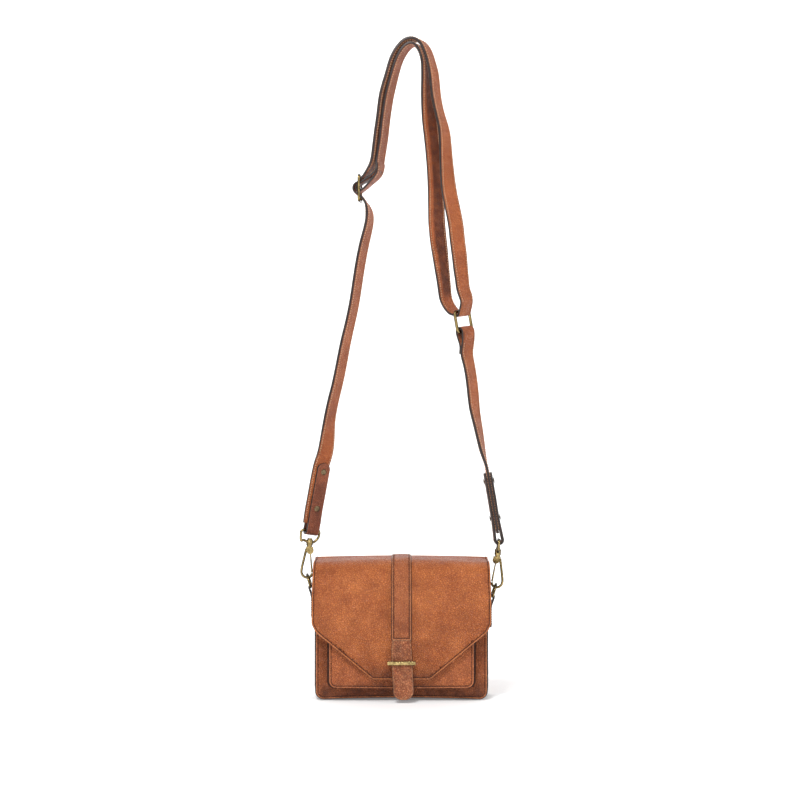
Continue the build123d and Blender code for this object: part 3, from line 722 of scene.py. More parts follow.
def stitches(name, line, mat, pitch=2.7, length=1.9, closed=False):
    """Short rounded stitches along a line of (point, normal)."""
    points = np.array([p for p, _ in line], float)
    normals = np.array([q for _, q in line], float)
    if closed:
        points, normals = np.vstack([points, points[:1]]), np.vstack([normals, normals[:1]])
    lengths = np.linalg.norm(np.diff(points, axis=0), axis=1)
    run = np.concatenate([[0], np.cumsum(lengths)])
    count = max(1, int(round(run[-1] / pitch)))
    at = (np.arange(count) + 0.5) * run[-1] / count

    def sample(values, where):
        return np.stack([np.interp(where, run, values[:, i]) for i in range(3)], 1)

    def normalised(vectors):
        return vectors / np.maximum(np.linalg.norm(vectors, axis=1, keepdims=True), 1e-9)

    centres = sample(points, at)
    along = normalised(sample(points, at + 0.4) - sample(points, at - 0.4))
    up = sample(normals, at)
    up = normalised(up - along * (up * along).sum(1, keepdims=True))
    across = np.cross(along, up)
    c, s = math.cos(STITCH_TILT), math.sin(STITCH_TILT)
    along, across = along * c + across * s, across * c - along * s
    sides, rings = STITCH_SIDES, len(STITCH_PROFILE)
    verts, faces = [], []
    for i in range(count):
        first = len(verts)
        for x, share, lift in STITCH_PROFILE:
            middle = (centres[i] + along[i] * (x * length)
                      + up[i] * (STITCH_RADIUS * (lift + STITCH_LIFT)))
            radius = STITCH_RADIUS * share
            for k in range(sides):
                a = 2 * math.pi * k / sides
                verts.append(middle + across[i] * (math.cos(a) * radius)
                             + up[i] * (math.sin(a) * radius))
        for j in range(first, first + (rings - 1) * sides, sides):
            for k in range(sides):
                m = (k + 1) % sides
                faces.append((j + k, j + m, j + sides + m, j + sides + k))
        faces.append(tuple(first + k for k in range(sides))[::-1])
        faces.append(tuple(first + (rings - 1) * sides + k for k in range(sides)))
    return make_object(name, verts, faces, [mat])


def on_surface(flat_points, place, height):
    """Points and outward normals of a sheet along a line of (u, v)."""
    line = []
    for u, v in flat_points:
        point, above = np.array(place(u, v, height)), np.array(place(u, v, height + 0.5))
        line.append((point, unit(above - point)))
    return line


# ============================================================ bag body
back_low, back_high = mm_box("back_panel")
front_low, front_high = mm_box("front_panel")
pocket_low, pocket_high = mm_box("pocket_panel")
HALF_W = back_high[0]


def sag(x, z):
    """Lift of the lower edge in its middle."""
    return 2.2 * max(0.0, 1 - (x / HALF_W) ** 2) * fade(0, 60, z)


def wrinkles(x, z):
    """Slanting folds beside the pocket, stronger on the left."""
    wave = math.sin((z * 0.80 - abs(x) * 0.62) * 0.55 + 1.6 * noise_at(x, 0, z, 26, 3.1))
    mask = ease(80, 87, abs(x)) * fade(97, 101, abs(x)) * ease(10, 26, z) * fade(86, 112, z)
    return wave * mask * (0.4 if x > 0 else 0.7)


def place_front(u, v, height):
    puff = 0.8 * arch(u, 104) * swell(v, 0, 150)
    low_roll = 1.0 * bell(v, 9, 6.0) * fade(88, 101, abs(u))
    ripple = 0.35 * noise_at(u, 0, v, 22, 1.0) * fade(95, 101, abs(u))
    y = (front_low[1] + front_high[1]) / 2 - height
    return (u, y - (puff + low_roll + wrinkles(u, v) + ripple), v + sag(u, v))


def place_back(u, v, height):
    y = (back_low[1] + back_high[1]) / 2 + height
    y += 0.91 * arch(u, 104) * swell(v, 0, 156) + 0.3 * noise_at(u, 0, v, 30, 8.0)
    return (u, y, v + sag(u, v) * 0.8)


def place_pocket(u, v, height):
    y = (pocket_low[1] + pocket_high[1]) / 2 - height
    y -= 0.9 * arch(u, 86) * swell(v, 14, 100) + 0.30 * noise_at(u, 0, v, 16, 4.0)
    fold = math.sin((v * 0.8 + abs(u) * 0.5) * 0.7 + 2 * noise_at(u, 0, v, 20, 9.0))
    y -= 0.16 * fold * ease(50, 78, abs(u)) * fade(78, 83, abs(u))
    return (u, y, v - 0.5 * arch(u, 84) * fade(16, 60, v))


# Darker towards the bottom, with painted shade beside the pocket and under it.
def shade_front(u, v):
    low = 0.50 * fade(2, 26, v) + 0.10
    pocket_side_painted_shade = 0.30 * ease(80, 90, abs(u)) * fade(90, 99, abs(u))
    under_pocket_painted_shade = 0.25 * fade(8, 17, v) * fade(60, 100, abs(u))
    return clamp(low + pocket_side_painted_shade + under_pocket_painted_shade + 0.25 * noise_at(u, 0, v, 14, 5.0), 0, 0.85)


def shade_back(u, v):
    return 0.25 * fade(2, 24, v) + 0.08


def shade_pocket(u, v):
    low = 0.55 * fade(17, 32, v) * fade(18, 70, abs(u)) + 0.02 + 0.18 * fade(16, 22, v)
    return clamp(low + 0.25 * noise_at(u, 0, v, 12, 6.0), 0, 0.8)


def sewn_panel(node, stitching, x0, x1, z0, z1, corner, thick, place, edge_mat, spacing,
               stitch, groove, shade):
    """An upright panel with rounded lower corners, sewn all round."""
    points = [(x0, z1), (x0, z0), (x1, z0), (x1, z1)]
    radii = [3, corner, corner, 3]
    panel = sheet(node + "_leather", points, radii, thick, place, [BODY, edge_mat, FLESH],
                  spacing, stitch=stitch, groove=groove, shade=shade)
    put(panel, "bag", node, "leather")
    line = on_surface(outline(points, radii, stitch, 1.2), place, thick / 2 - groove)
    put(stitches(stitching, line, THREAD_DARK, closed=True), "bag")


def u_path(half, bottom, top, radius):
    """A U seen from the front: arc length to (x, z, outward normal), and its total length."""
    leg, arc, floor = top - bottom - radius, math.pi / 2 * radius, 2 * (half - radius)

    def corner(centre, angle):
        c, s = math.cos(angle), math.sin(angle)
        return centre + radius * c, bottom + radius + radius * s, c, s

    def at(run):
        if run < leg:
            return -half, top - run, -1.0, 0.0
        run -= leg
        if run < arc:
            return corner(-half + radius, math.pi + run / radius)
        run -= arc
        if run < floor:
            return -half + radius + run, bottom, 0.0, -1.0
        run -= floor
        if run < arc:
            return corner(half - radius, 1.5 * math.pi + run / radius)
        run -= arc
        return half, bottom + radius + run, 1.0, 0.0
    return at, 2 * leg + 2 * arc + floor


def gusset(node, half, bottom, radius, trim, corner, thick, spacing, shade, dimple=0.0,
           sag_at=lambda x, z: 0.0, flare=0.0, drop=0.0):
    """A U-shaped side strip. Towards the front, flare draws its sides in and drop lifts
    its bottom; dimple is how far its sides sink."""
    low, high = mm_box(node)
    at, total = u_path(half, bottom, high[2], radius)
    middle, half_depth = (low[1] + high[1]) / 2, (high[1] - low[1]) / 2 - trim

    def place(u, v, height):
        x, z, normal_x, normal_z = at(clamp(v, 0, total))
        forward = clamp((half_depth - u) / (2 * half_depth), 0, 1)   # 1 at the front edge
        x -= math.copysign(flare, x) * min(1.0, abs(normal_x) + ease(60, 95, abs(x))) * forward
        z += drop * forward * abs(min(0.0, normal_z))
        sunk = dimple * abs(normal_x) * ease(20, 120, z) * bell(u, -5, 9.0)
        sunk += 0.35 * noise_at(u, v, 0, 18, 2.2) * fade(16, 21, abs(u))
        out = height - sunk
        return (x + normal_x * out, middle + u, z + normal_z * out + sag_at(x, z))

    strip = sheet(node + "_leather", rect(-half_depth, half_depth, 0, total), [corner] * 4,
                  thick, place, [SIDE_PAINTED_SHADE, EDGE, FLESH], spacing, rows=np.arange(0, total, 2.6),
                  shade=shade)
    put(strip, "bag", node, "leather")


FRONT_HALF = front_high[0] - 2.6
sewn_panel("front_panel", "front_panel_stitching", -FRONT_HALF, FRONT_HALF,
           front_low[2], front_high[2], corner=9.2, thick=1.9, place=place_front,
           edge_mat=EDGE, spacing=3.0, stitch=2.5, groove=0.34, shade=shade_front)
sewn_panel("back_panel", "back_panel_stitching", back_low[0], back_high[0],
           back_low[2], back_high[2], corner=10, thick=2.0, place=place_back,
           edge_mat=EDGE, spacing=3.4, stitch=2.5, groove=0.3, shade=shade_back)
# the body gusset is darker towards its front and back edges, a painted shade
gusset("gusset", HALF_W - 1, bottom=1.0, radius=9.0, trim=0.0, corner=1.5, thick=1.9,
       spacing=3.0, shade=lambda u, v: 0.1 + 0.25 * ease(12, 20, abs(u)),
       dimple=1.4, sag_at=sag, flare=2.6)
sewn_panel("pocket_panel", "pocket_stitching", pocket_low[0], pocket_high[0],
           pocket_low[2], pocket_high[2], corner=8, thick=1.9, place=place_pocket,
           edge_mat=EDGE_WORN, spacing=2.8, stitch=2.3, groove=0.3, shade=shade_pocket)
# the pocket gusset is dark all over, a painted shade
gusset("pocket_gusset", pocket_high[0] + 2.3, bottom=pocket_low[2] - 1.4, radius=8.0, trim=0.1,
       corner=1.0, thick=1.7, spacing=2.2, shade=lambda u, v: 0.6, flare=3.4, drop=2.2)


# ============================================================ cloth linings
def pouch(name, node, thick, radius, waver, seed, tuck, flare, rise):
    """Open-topped cloth lining: outer skin, mouth and wavering inner skin.
    tuck and flare draw the ends in, flare most at the front; rise lifts the bottom."""
    low, high = mm_box(node)
    half, y0, y1, z0, z1 = high[0], low[1], high[1], low[2] + rise, high[2]
    levels = [z0 + radius * (1 - math.cos(math.radians(a))) for a in (0, 20, 40, 60, 75, 90)]
    levels += list(np.linspace(z0 + radius, z1, 34))[1:]

    def loop(z, inset):
        """Rounded rectangle at one level, narrower round the bottom."""
        k = clamp(radius - (z - z0), 0, radius)
        w = half - (radius - math.sqrt(max(0.0, radius * radius - k * k))) - inset
        a, b = y0 + inset, y1 - inset
        bend = min(3.0, (b - a) / 2 - 0.2)
        wide, deep = 2 * w - 2 * bend, b - a - 2 * bend
        # each side: start, step to its end, point count, centre of the corner after it
        sides = (((-w + bend, a), (wide, 0), 44, (w - bend, a + bend)),
                 ((w, a + bend), (0, deep), 8, (w - bend, b - bend)),
                 ((w - bend, b), (-wide, 0), 44, (-w + bend, b - bend)),
                 ((-w, b - bend), (0, -deep), 8, (-w + bend, a + bend)))
        points = []
        for turn, ((x, y), (dx, dy), count, centre) in enumerate(sides):
            points += [(x + dx * i / count, y + dy * i / count) for i in range(count)]
            for i in range(5):
                t = math.pi / 2 * (turn - 1 + i / 5)
                points.append((centre[0] + bend * math.cos(t), centre[1] + bend * math.sin(t)))
        return points

    sections = [(z, 0.0) for z in levels] + [(z1 + 0.05, thick * 0.5)]
    sections += [(z, thick) for z in reversed(levels[1:])]
    sections += [(z0 + thick, thick + radius * 0.3)]
    verts, rings = [], []
    middle = (y0 + y1) / 2
    for z, inset in sections:
        rings.append(len(verts))
        level = z if inset < thick or z > z0 + radius else max(z, z0 + thick)
        reach = waver * ease(z0, z0 + 20, z) * fade(z1 - 8, z1, z) * (inset / thick)
        for x, y in loop(level, inset):
            inward = reach * abs(noise_at(x, y * 2, z, 20, seed))
            pull = (tuck + flare * (y1 - y) / (y1 - y0)) * ease(half - 26, half - 6, abs(x))
            verts.append((x - math.copysign(pull, x),
                          y + (middle - y) / max(abs(middle - y), 1e-6) * inward, z))
    n = rings[1] - rings[0]
    faces = []
    for a, b in zip(rings, rings[1:]):
        for i in range(n):
            j = (i + 1) % n
            faces.append((a + i, a + j, b + j, b + i))
    faces.append(tuple(rings[0] + i for i in range(n))[::-1])
    faces.append(tuple(rings[-1] + i for i in range(n)))
    put(make_object(name, verts, faces, [LINING]), "bag", node, "lining")


pouch("main_compartment_lining", "main_lining", thick=0.8, radius=8.0, waver=0.9, seed=1.5,
      tuck=2.3, flare=2.7, rise=1.0)
pouch("pocket_pouch_lining", "pocket_lining", thick=0.7, radius=6.2, waver=0.4, seed=4.5,
      tuck=0.9, flare=3.4, rise=2.4)

# ============================================================ flap
# The flap is drawn flat: u across, s from its lower front edge up, over and down the back.
FLAP_T = 1.8
FOLD_R, BACK_FOLD_R = 20.0, 5.3          # front and back folds, at mid thickness
flap_low = mm_box("flap_front_leather")[0]
flap_top_high = mm_box("flap_top_leather")[1]
HEM_Z = mm_box("flap_back_hem")[0][2]
FOLD_Z = flap_top_high[2] - FLAP_T / 2 - FOLD_R
BACK_FOLD_Z = flap_top_high[2] - FLAP_T / 2 - BACK_FOLD_R
FRONT_Y = flap_low[1] + FLAP_T / 2
BACK_Y = flap_top_high[1] - FLAP_T / 2
TOP_Z = flap_top_high[2] - FLAP_T / 2
# s where the front fold starts and ends, the back fold starts and ends, and at the hem
S1 = FOLD_Z
S2 = S1 + math.pi / 2 * FOLD_R
S3 = S2 + (BACK_Y - BACK_FOLD_R) - (FRONT_Y + FOLD_R)
S4 = S3 + math.pi / 2 * BACK_FOLD_R
S5 = S4 + BACK_FOLD_Z - HEM_Z
S_MID = S2 + (0 - (FRONT_Y + FOLD_R))    # where the flap crosses y = 0


def flap_path(s):
    """y, z and outward normal at s."""
    if s <= S1:
        return FRONT_Y, s, -1.0, 0.0
    if s <= S2:
        c, n = math.cos((s - S1) / FOLD_R), math.sin((s - S1) / FOLD_R)
        return FRONT_Y + FOLD_R - FOLD_R * c, FOLD_Z + FOLD_R * n, -c, n
    if s <= S3:
        return FRONT_Y + FOLD_R + (s - S2), TOP_Z, 0.0, 1.0
    if s <= S4:
        c, n = math.cos((s - S3) / BACK_FOLD_R), math.sin((s - S3) / BACK_FOLD_R)
        return BACK_Y - BACK_FOLD_R + BACK_FOLD_R * n, BACK_FOLD_Z + BACK_FOLD_R * c, n, c
    return BACK_Y, BACK_FOLD_Z - (s - S4), 1.0, 0.0


def place_flap(u, s, height, lift=0.0):
    y, z, normal_y, normal_z = flap_path(s)
    out = height + lift
    front = fade(S1 - 10, S2, s)
    top = ease(S1, S2, s) * fade(S3 - 4, S4, s)
    edge = ease(82, 103, abs(u))
    out += 1.0 * front * arch(u, 104) * swell(s, 20, 150)              # broad bow
    out += 1.6 * max(0, 1 - (u / 106) ** 4) * bell(s, 108, 30.0)       # fuller below the fold
    out += 0.55 * noise_at(u, s, 0, 42, 2.0) * front * (1 - edge)
    out += 0.16 * noise_at(u, s, 0, 13, 6.0) * front * (1 - edge)
    out -= 1.5 * edge * edge * front                                   # sides lie closer
    z += top * (-1.2 - 3.3 * (u / 103.0) ** 2)                         # top droops at its ends
    u *= 1.006 - 0.014 * ease(110, 165, s)
    return (u, y + normal_y * out, z + normal_z * out)


def place_flap_lining(u, s, height):
    return place_flap(u, s, -height, -(FLAP_T / 2 + 0.42))


def place_strip(u, s, height):
    dome = 0.45 * arch(u, STRIP_HALF) if height > 0 else 0
    return place_flap(u, s, height, FLAP_T / 2 + 0.92 + dome)


# Painted shade darkens the flap towards its lower edge and beside the raised strip; the patches low beside the tab are
# partly darker leather and partly painted shadow.
def shade_flap(u, s):
    low_patches_and_painted_shadow = 0.60 * fade(26, 48, s) * fade(8, 40, abs(abs(u) - 20))
    lower_flap_painted_shade = 0.15 * fade(50, 142, s)
    strip_side_painted_shadow = 0.16 * bell(abs(u), 15, 4.0) * fade(S1, S2, s)
    sides = 0.10 * ease(90, 103, abs(u))
    shade = low_patches_and_painted_shadow + lower_flap_painted_shade + strip_side_painted_shadow + sides
    return clamp(shade + 0.22 * noise_at(u, s, 0, 16, 7.0), 0, 0.8)


def shade_strip(u, s):
    low = 0.10 + 0.25 * fade(72, 130, s) * (0.5 + noise_at(u, s, 0, 9, 3.0))
    return clamp(low + 0.2 * ease(8, 11, abs(u)), 0, 0.7)


def split_mid(whole, back_name, front_name):
    """Cuts a flap sheet at y = 0 on the bag's top, so that each half can follow its own fold."""
    halves = []
    for name, keep_back in ((back_name, True), (front_name, False)):
        mesh = whole.data.copy()
        bm = bmesh.new()
        bm.from_mesh(mesh)
        bmesh.ops.bisect_plane(bm, geom=bm.verts[:] + bm.edges[:] + bm.faces[:], dist=1e-7,
                               plane_co=(0, 0, 0), plane_no=(0, 1, 0),
                               clear_inner=keep_back, clear_outer=not keep_back)
        rim = [e for e in bm.edges if e.is_boundary]
        for face in bmesh.ops.holes_fill(bm, edges=rim, sides=0)["faces"]:
            face.smooth = False
            face.material_index = 2
            for e in face.edges:
                e.smooth = False
        bmesh.ops.recalc_face_normals(bm, faces=bm.faces)
        bm.to_mesh(mesh)
        bm.free()
        half = bpy.data.objects.new(name, mesh)
        scene.collection.objects.link(half)
        halves.append(half)
    mesh = whole.data
    bpy.data.objects.remove(whole)
    bpy.data.meshes.remove(mesh)
    return halves


def split_stitches(back_name, front_name, points, place, height):
    """Stitches along a closed line on the flap, in a back and a front part."""
    runs, current, side = {True: [], False: []}, [], None
    for point in list(points) + [points[0]]:
        behind = point[1] > S_MID
        if side is not None and behind != side:
            runs[side].append(current)
            current = [current[-1]]
        current.append(point)
        side = behind
    runs[side].append(current)
    return [join([stitches(f"{name}_{i}", on_surface(run, place, height), THREAD_DARK)
                  for i, run in enumerate(runs[behind]) if len(run) > 2], name)
            for behind, name in ((True, back_name), (False, front_name))]


FLAP_FOOT = 33.0        # half width of the lower edge
FLAP_Z = flap_low[2]
flap_points = mirrored([(-HALF_W, S5), (-HALF_W, 90.0), (-98.0, 80.6), (-FLAP_FOOT, FLAP_Z)])
flap_radii = [4, 9, 9, 7, 7, 9, 9, 4]
flap_rows = np.concatenate([
    np.arange(FLAP_Z, S1, 3.0), np.arange(S1, S2, 1.3), np.arange(S2, S3, 2.8),
    np.arange(S3, S4, 1.1), np.arange(S4, S5, 3.0)])
flap_back, flap_front = split_mid(
    sheet("flap_full", flap_points, flap_radii, FLAP_T, place_flap, [FLAP, EDGE_WORN, FLESH],
          3.0, rows=flap_rows, stitch=2.4, groove=0.30, shade=shade_flap),
    "flap_leather_back", "flap_leather_front")

lining_points = mirrored([(-HALF_W + 1.2, S3 - 4), (-HALF_W + 1.2, 90.4), (-97.0, 81.6),
                          (-FLAP_FOOT + 0.6, FLAP_Z + 1.2)])
lining_back, lining_front = split_mid(
    sheet("flap_lin_full", lining_points, flap_radii, 0.78, place_flap_lining, [LINING] * 3,
          4.0, rows=flap_rows),
    "flap_lining_back", "flap_lining_front")

# strip down the middle of the flap
strip_low, strip_high = mm_box("flap_front_strip")
STRIP_HALF = (strip_high[0] - strip_low[0]) / 2
STRIP_Z = strip_low[2]
strip_points = mirrored([(-STRIP_HALF, S3 - 2), (-STRIP_HALF, STRIP_Z)])
strip_radii = [0.8] * 4
strip_rows = np.concatenate([np.arange(STRIP_Z, S1, 2.2), np.arange(S1, S2, 1.2),
                             np.arange(S2, S3, 2.4)])
strip_back, strip_front = split_mid(
    sheet("strip_full", strip_points, strip_radii, 1.8, place_strip, [STRIP, EDGE, FLESH], 2.0,
          rows=strip_rows, stitch=2.6, groove=0.3, shade=shade_strip, rim=1.2, edge_rings=3),
    "flap_strip_back", "flap_strip_front")

flap_sewing_back, flap_sewing_front = split_stitches(
    "flap_stitching_back", "flap_stitching_front", outline(flap_points, flap_radii, 2.4, 1.2),
    place_flap, FLAP_T / 2 - 0.3)
strip_sewing_back, strip_sewing_front = split_stitches(
    "strip_stitching_back", "strip_stitching_front",
    outline(strip_points, strip_radii, 2.6, 1.2), place_strip, 0.9 - 0.3)

# Each fold: the two bodies it joins, and where the first ends and the second begins
BACK_FOLD = ("bag", "flap_top", (0, 31.0 * MM, 155.5 * MM), (0, 24.0 * MM, 164.0 * MM))
FRONT_FOLD = ("flap_top", "flap_front", (0, -14.5 * MM, 164.0 * MM), (0, -33.0 * MM, 143.0 * MM))
for piece, fold, nodes, slot in (
        (flap_back, BACK_FOLD, ["flap_back_hem", "flap_top_leather"], "leather"),
        (lining_back, BACK_FOLD, ["flap_top_lining"], "lining"),
        (flap_sewing_back, BACK_FOLD, [], "leather"),
        (flap_front, FRONT_FOLD, ["flap_front_leather"], "leather"),
        (lining_front, FRONT_FOLD, ["flap_front_lining"], "lining"),
        (strip_front, FRONT_FOLD, ["flap_front_strip"], "leather"),
        (flap_sewing_front, FRONT_FOLD, [], "leather"),
        (strip_sewing_front, FRONT_FOLD, [], "leather")):
    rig.blend(piece, *fold)
    if nodes:
        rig.replaces(piece, *nodes)
    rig.slot(piece, slot)
put(strip_back, "flap_top", "top_strip" and "flap_top_strip", "leather")
put(strip_sewing_back, "flap_top")

# ============================================================ pull tab
# Thick, burnished and creased, passing under the keeper bar.
tab_low, tab_high = mm_box("pull_tab")
tab_top = mm_box("pull_tab_upper")[1][2] + 1.5
keeper_low, keeper_high = mm_box("keeper_bar")
TAB_HALF, KEEPER_Z = tab_high[0], (keeper_low[2] + keeper_high[2]) / 2


def place_tab(u, v, height):
    flap_y = place_flap(u, max(v, 20), FLAP_T / 2)[1]
    upper = ease(58, 72, v)
    x = u * (1 - 0.09 * upper) + 2.2 * fade(8, 66, v)      # narrower above, drifting right below
    across = 1 - (u / TAB_HALF) ** 2
    stand_off = 1.5 + 0.55 * across * (1 - upper)
    nip = bell(v, KEEPER_Z, 4.0)
    bulge = 0.7 * bell(v, KEEPER_Z - 10, 6.0) + 0.5 * bell(v, KEEPER_Z + 9, 6.0)
    y = flap_y - stand_off * 1.02 - height * (0.92 if height > 0 else 1)
    y += 0.5 * nip - bulge * across - fade(5, 40, v) * 0.7
    if height > 0:
        crumple = 0.16 + 0.22 * ease(46, 52, v) * fade(68, 72, v)
        y -= crumple * noise_at(u, v, 0, 3.4, 2.0)
        y -= crumple * 1.2 * abs(noise_at(u, v, 0, 6.5, 5.0))
    return (x, y + 0.9 * upper, v)


def shade_tab(u, v):
    shade = 0.22 + 0.5 * noise_at(u, v, 0, 8, 3.0)
    return clamp(shade + 0.25 * bell(v, 53, 6.0) + 0.15 * ease(9, 12, abs(u)), 0, 0.75)


tab = sheet("pull_tab_leather", mirrored([(-TAB_HALF, tab_top), (-TAB_HALF, tab_low[2])]),
            [1.0, 10.5, 10.5, 1.0], 3.0, place_tab, [TAB, EDGE_WORN, FLESH], 1.3,
            shade=shade_tab, edge=1.1, step=1.2, rim=0.45)
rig.blend(tab, "flap_front", "tab_end", (0, -36 * MM, 46 * MM), (0, -36 * MM, 38 * MM))
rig.replaces(tab, "pull_tab", "pull_tab_upper")
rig.slot(tab, "tab_leather")

# ============================================================ strap layout
STRAP_W, STRAP_T = 20.4, 3.5
HANG_Y = mm_centre("dring_left")[1]
EYE_TOP = 24.5          # from the hook's origin to the frame of its end tab


def heading(degrees):
    """Level direction, turned from +X towards +Y."""
    a = math.radians(degrees)
    return np.array([math.cos(a), math.sin(a), 0.0])


def lean(degrees):
    """Upward direction, leaning towards +X."""
    return (math.sin(math.radians(degrees)), 0, math.cos(math.radians(degrees)))


class Frame:
    """A local frame: up, side near a level heading, and out square to both."""

    def __init__(self, origin, up, degrees):
        self.origin = np.array(origin, float)
        self.up = unit(np.array(up, float))
        level = heading(degrees)
        self.side = unit(level - self.up * (level @ self.up))
        self.out = np.cross(self.side, self.up)

    def at(self, out=0.0, up=0.0, side=0.0):
        return self.origin + self.out * out + self.up * up + self.side * side


def end_frame(x, z, tilt, eye_heading, tab_lean):
    hook = Frame((x, HANG_Y, z), lean(tilt), 0)
    return Frame(hook.at(up=EYE_TOP), lean(tab_lean), eye_heading)


LEFT_EYE = 28.0
left_end = end_frame(-108.8, 170.6, tilt=3, eye_heading=LEFT_EYE, tab_lean=10.3)
right_end = end_frame(113.0, 159.2, tilt=4, eye_heading=90.0, tab_lean=-9.5)
slider = Frame(mm_centre("strap_slider"), (0, 0, 1), 85)
ring = Frame(mm_centre("strap_ring"), lean(-9.8), 44)
ring_top = Frame(ring.at(up=12.3), ring.up, 44)
ring_low = Frame(ring.at(up=-12.3), ring.up, 44)

# Centre lines of the strap: x, z, heading of its width in degrees
LEFT_LEG = [
    (-89.8, 286.3, 31), (-87.9, 298.2, 37), (-86.6, 310.3, 46), (-85.3, 322.3, 54),
    (-80.9, 345.8, 57), (-75.1, 369.4, 58), (-70.3, 393.1, 58), (-65.8, 416.7, 60),
    (-60.3, 440.3, 62), (-55.4, 464.1, 62), (-51.8, 487.8, 62), (-48.1, 511.2, 62),
    (-43.4, 534.7, 63), (-39.8, 549.0, 66), (-37.4, 562.4, 69), (-37.9, 570.5, 72)]
OUTER_RUN = [
    (-31.9, 628.1, 66), (-29.8, 641.2, 66), (-28.3, 653.1, 66), (-26.9, 664.8, 66),
    (-25.1, 676.6, 66), (-23.6, 688.4, 66), (-22.2, 700.1, 66), (-20.2, 711.6, 66),
    (-16.8, 723.2, 66), (-13.2, 735.1, 66), (-10.0, 746.8, 66), (-7.4, 753.4, 66),
    (-3.7, 760.1, 66), (1.0, 766.4, 66), (6.0, 771.4, 66), (12.5, 773.8, 66), (19.0, 773.0, 66),
    (25.2, 769.2, 66), (29.3, 763.0, 62), (32.3, 756.0, 62), (34.4, 748.5, 62), (37.6, 736.4, 59),
    (39.1, 724.4, 59), (40.0, 712.6, 59), (41.6, 701.0, 59), (44.0, 689.6, 60), (47.1, 678.1, 57),
    (50.1, 666.2, 53), (51.4, 654.0, 50), (52.0, 642.1, 47), (52.7, 630.3, 44), (53.5, 618.5, 40),
    (54.4, 606.8, 36), (55.7, 595.5, 32), (57.6, 584.3, 30), (60.0, 572.7, 30), (62.4, 560.7, 30),
    (64.3, 548.5, 30), (65.3, 536.6, 31), (66.8, 525.1, 31), (68.3, 513.5, 33), (69.3, 501.8, 36),
    (71.0, 489.8, 40), (72.3, 477.7, 42)]
INNER_RUN = [
    (-25.7, 629.3, 64), (-23.9, 641.1, 64), (-21.9, 652.9, 64), (-20.4, 664.8, 64),
    (-19.2, 676.6, 64), (-17.7, 688.3, 64), (-15.9, 700.0, 64), (-13.7, 711.5, 64),
    (-10.7, 723.3, 65), (-7.6, 735.2, 67), (-4.4, 746.0, 68), (-1.8, 752.4, 68), (1.6, 758.6, 68),
    (5.6, 764.0, 68), (11.0, 767.8, 68), (16.6, 767.8, 68), (21.6, 763.8, 68), (25.6, 757.0, 66),
    (28.3, 748.1, 64), (29.5, 736.0, 58), (29.8, 724.2, 56), (30.1, 712.5, 52), (30.9, 700.8, 46),
    (32.1, 689.3, 38), (33.6, 677.7, 28), (34.8, 665.9, 32), (36.2, 654.0, 31), (37.5, 642.2, 30),
    (38.6, 630.3, 29), (39.5, 618.4, 29), (40.2, 606.6, 28), (40.8, 594.8, 25), (41.1, 583.0, 22),
    (41.5, 571.3, 17), (41.7, 559.8, 13), (42.8, 548.3, 12), (43.9, 536.7, 12), (45.6, 525.0, 21),
    (46.9, 513.2, 29), (48.4, 501.4, 35), (49.9, 489.5, 40), (51.2, 478.0, 44)]
SHORT_RUN = [
    (76.6, 404.0, 46), (79.2, 392.4, 50), (81.3, 381.0, 52), (83.3, 366.6, 52), (85.0, 350.1, 52),
    (86.2, 337.7, 56), (88.7, 324.6, 62), (91.2, 312.3, 66), (93.4, 300.3, 70), (95.6, 288.3, 76)]
# Distance of each run from HANG_Y on the right-hand side: z, distance
SPREAD = [(453, 11.0), (478, 11.5), (490, 12.5), (525, 15.6), (583, 12.6), (640, 6.3),
          (701, 3.0), (747, 1.1), (775, 0.0), (900, 0.0)]


# Stations along a band are (point, width direction, thickness, hold); hold 1 stays put
# while the line is smoothed.
def hang(rows, toward=0, behind=0.0, thick=STRAP_T, hold=0):
    """Stations of a centre line; toward is -1 for the front run and 1 for the rear one."""
    stations = []
    for x, z, degrees in rows:
        gap = float(np.interp(z, *zip(*SPREAD))) if x > 12 else 1.2 * min(1, (775 - z) / 60)
        point = np.array([x, HANG_Y + behind + toward * gap, z])
        stations.append((point, heading(degrees), thick, hold))
    return stations


def beside(frame, rows, thick, hold):
    """Stations at (out, up) of a frame, with their own heading where one is given."""
    return [(frame.at(out, up), heading(*degrees) if degrees else frame.side, thick, hold)
            for out, up, *degrees in rows]


def wrap(frame, radius, start, end, count, thick):
    """Stations round an arc about the frame's origin, angles measured from out towards up."""
    stations = []
    for i in range(count + 1):
        angle = math.radians(start + (end - start) * i / count)
        point = frame.at(radius * math.cos(angle), radius * math.sin(angle))
        stations.append((point, frame.side, thick, 1))
    return stations


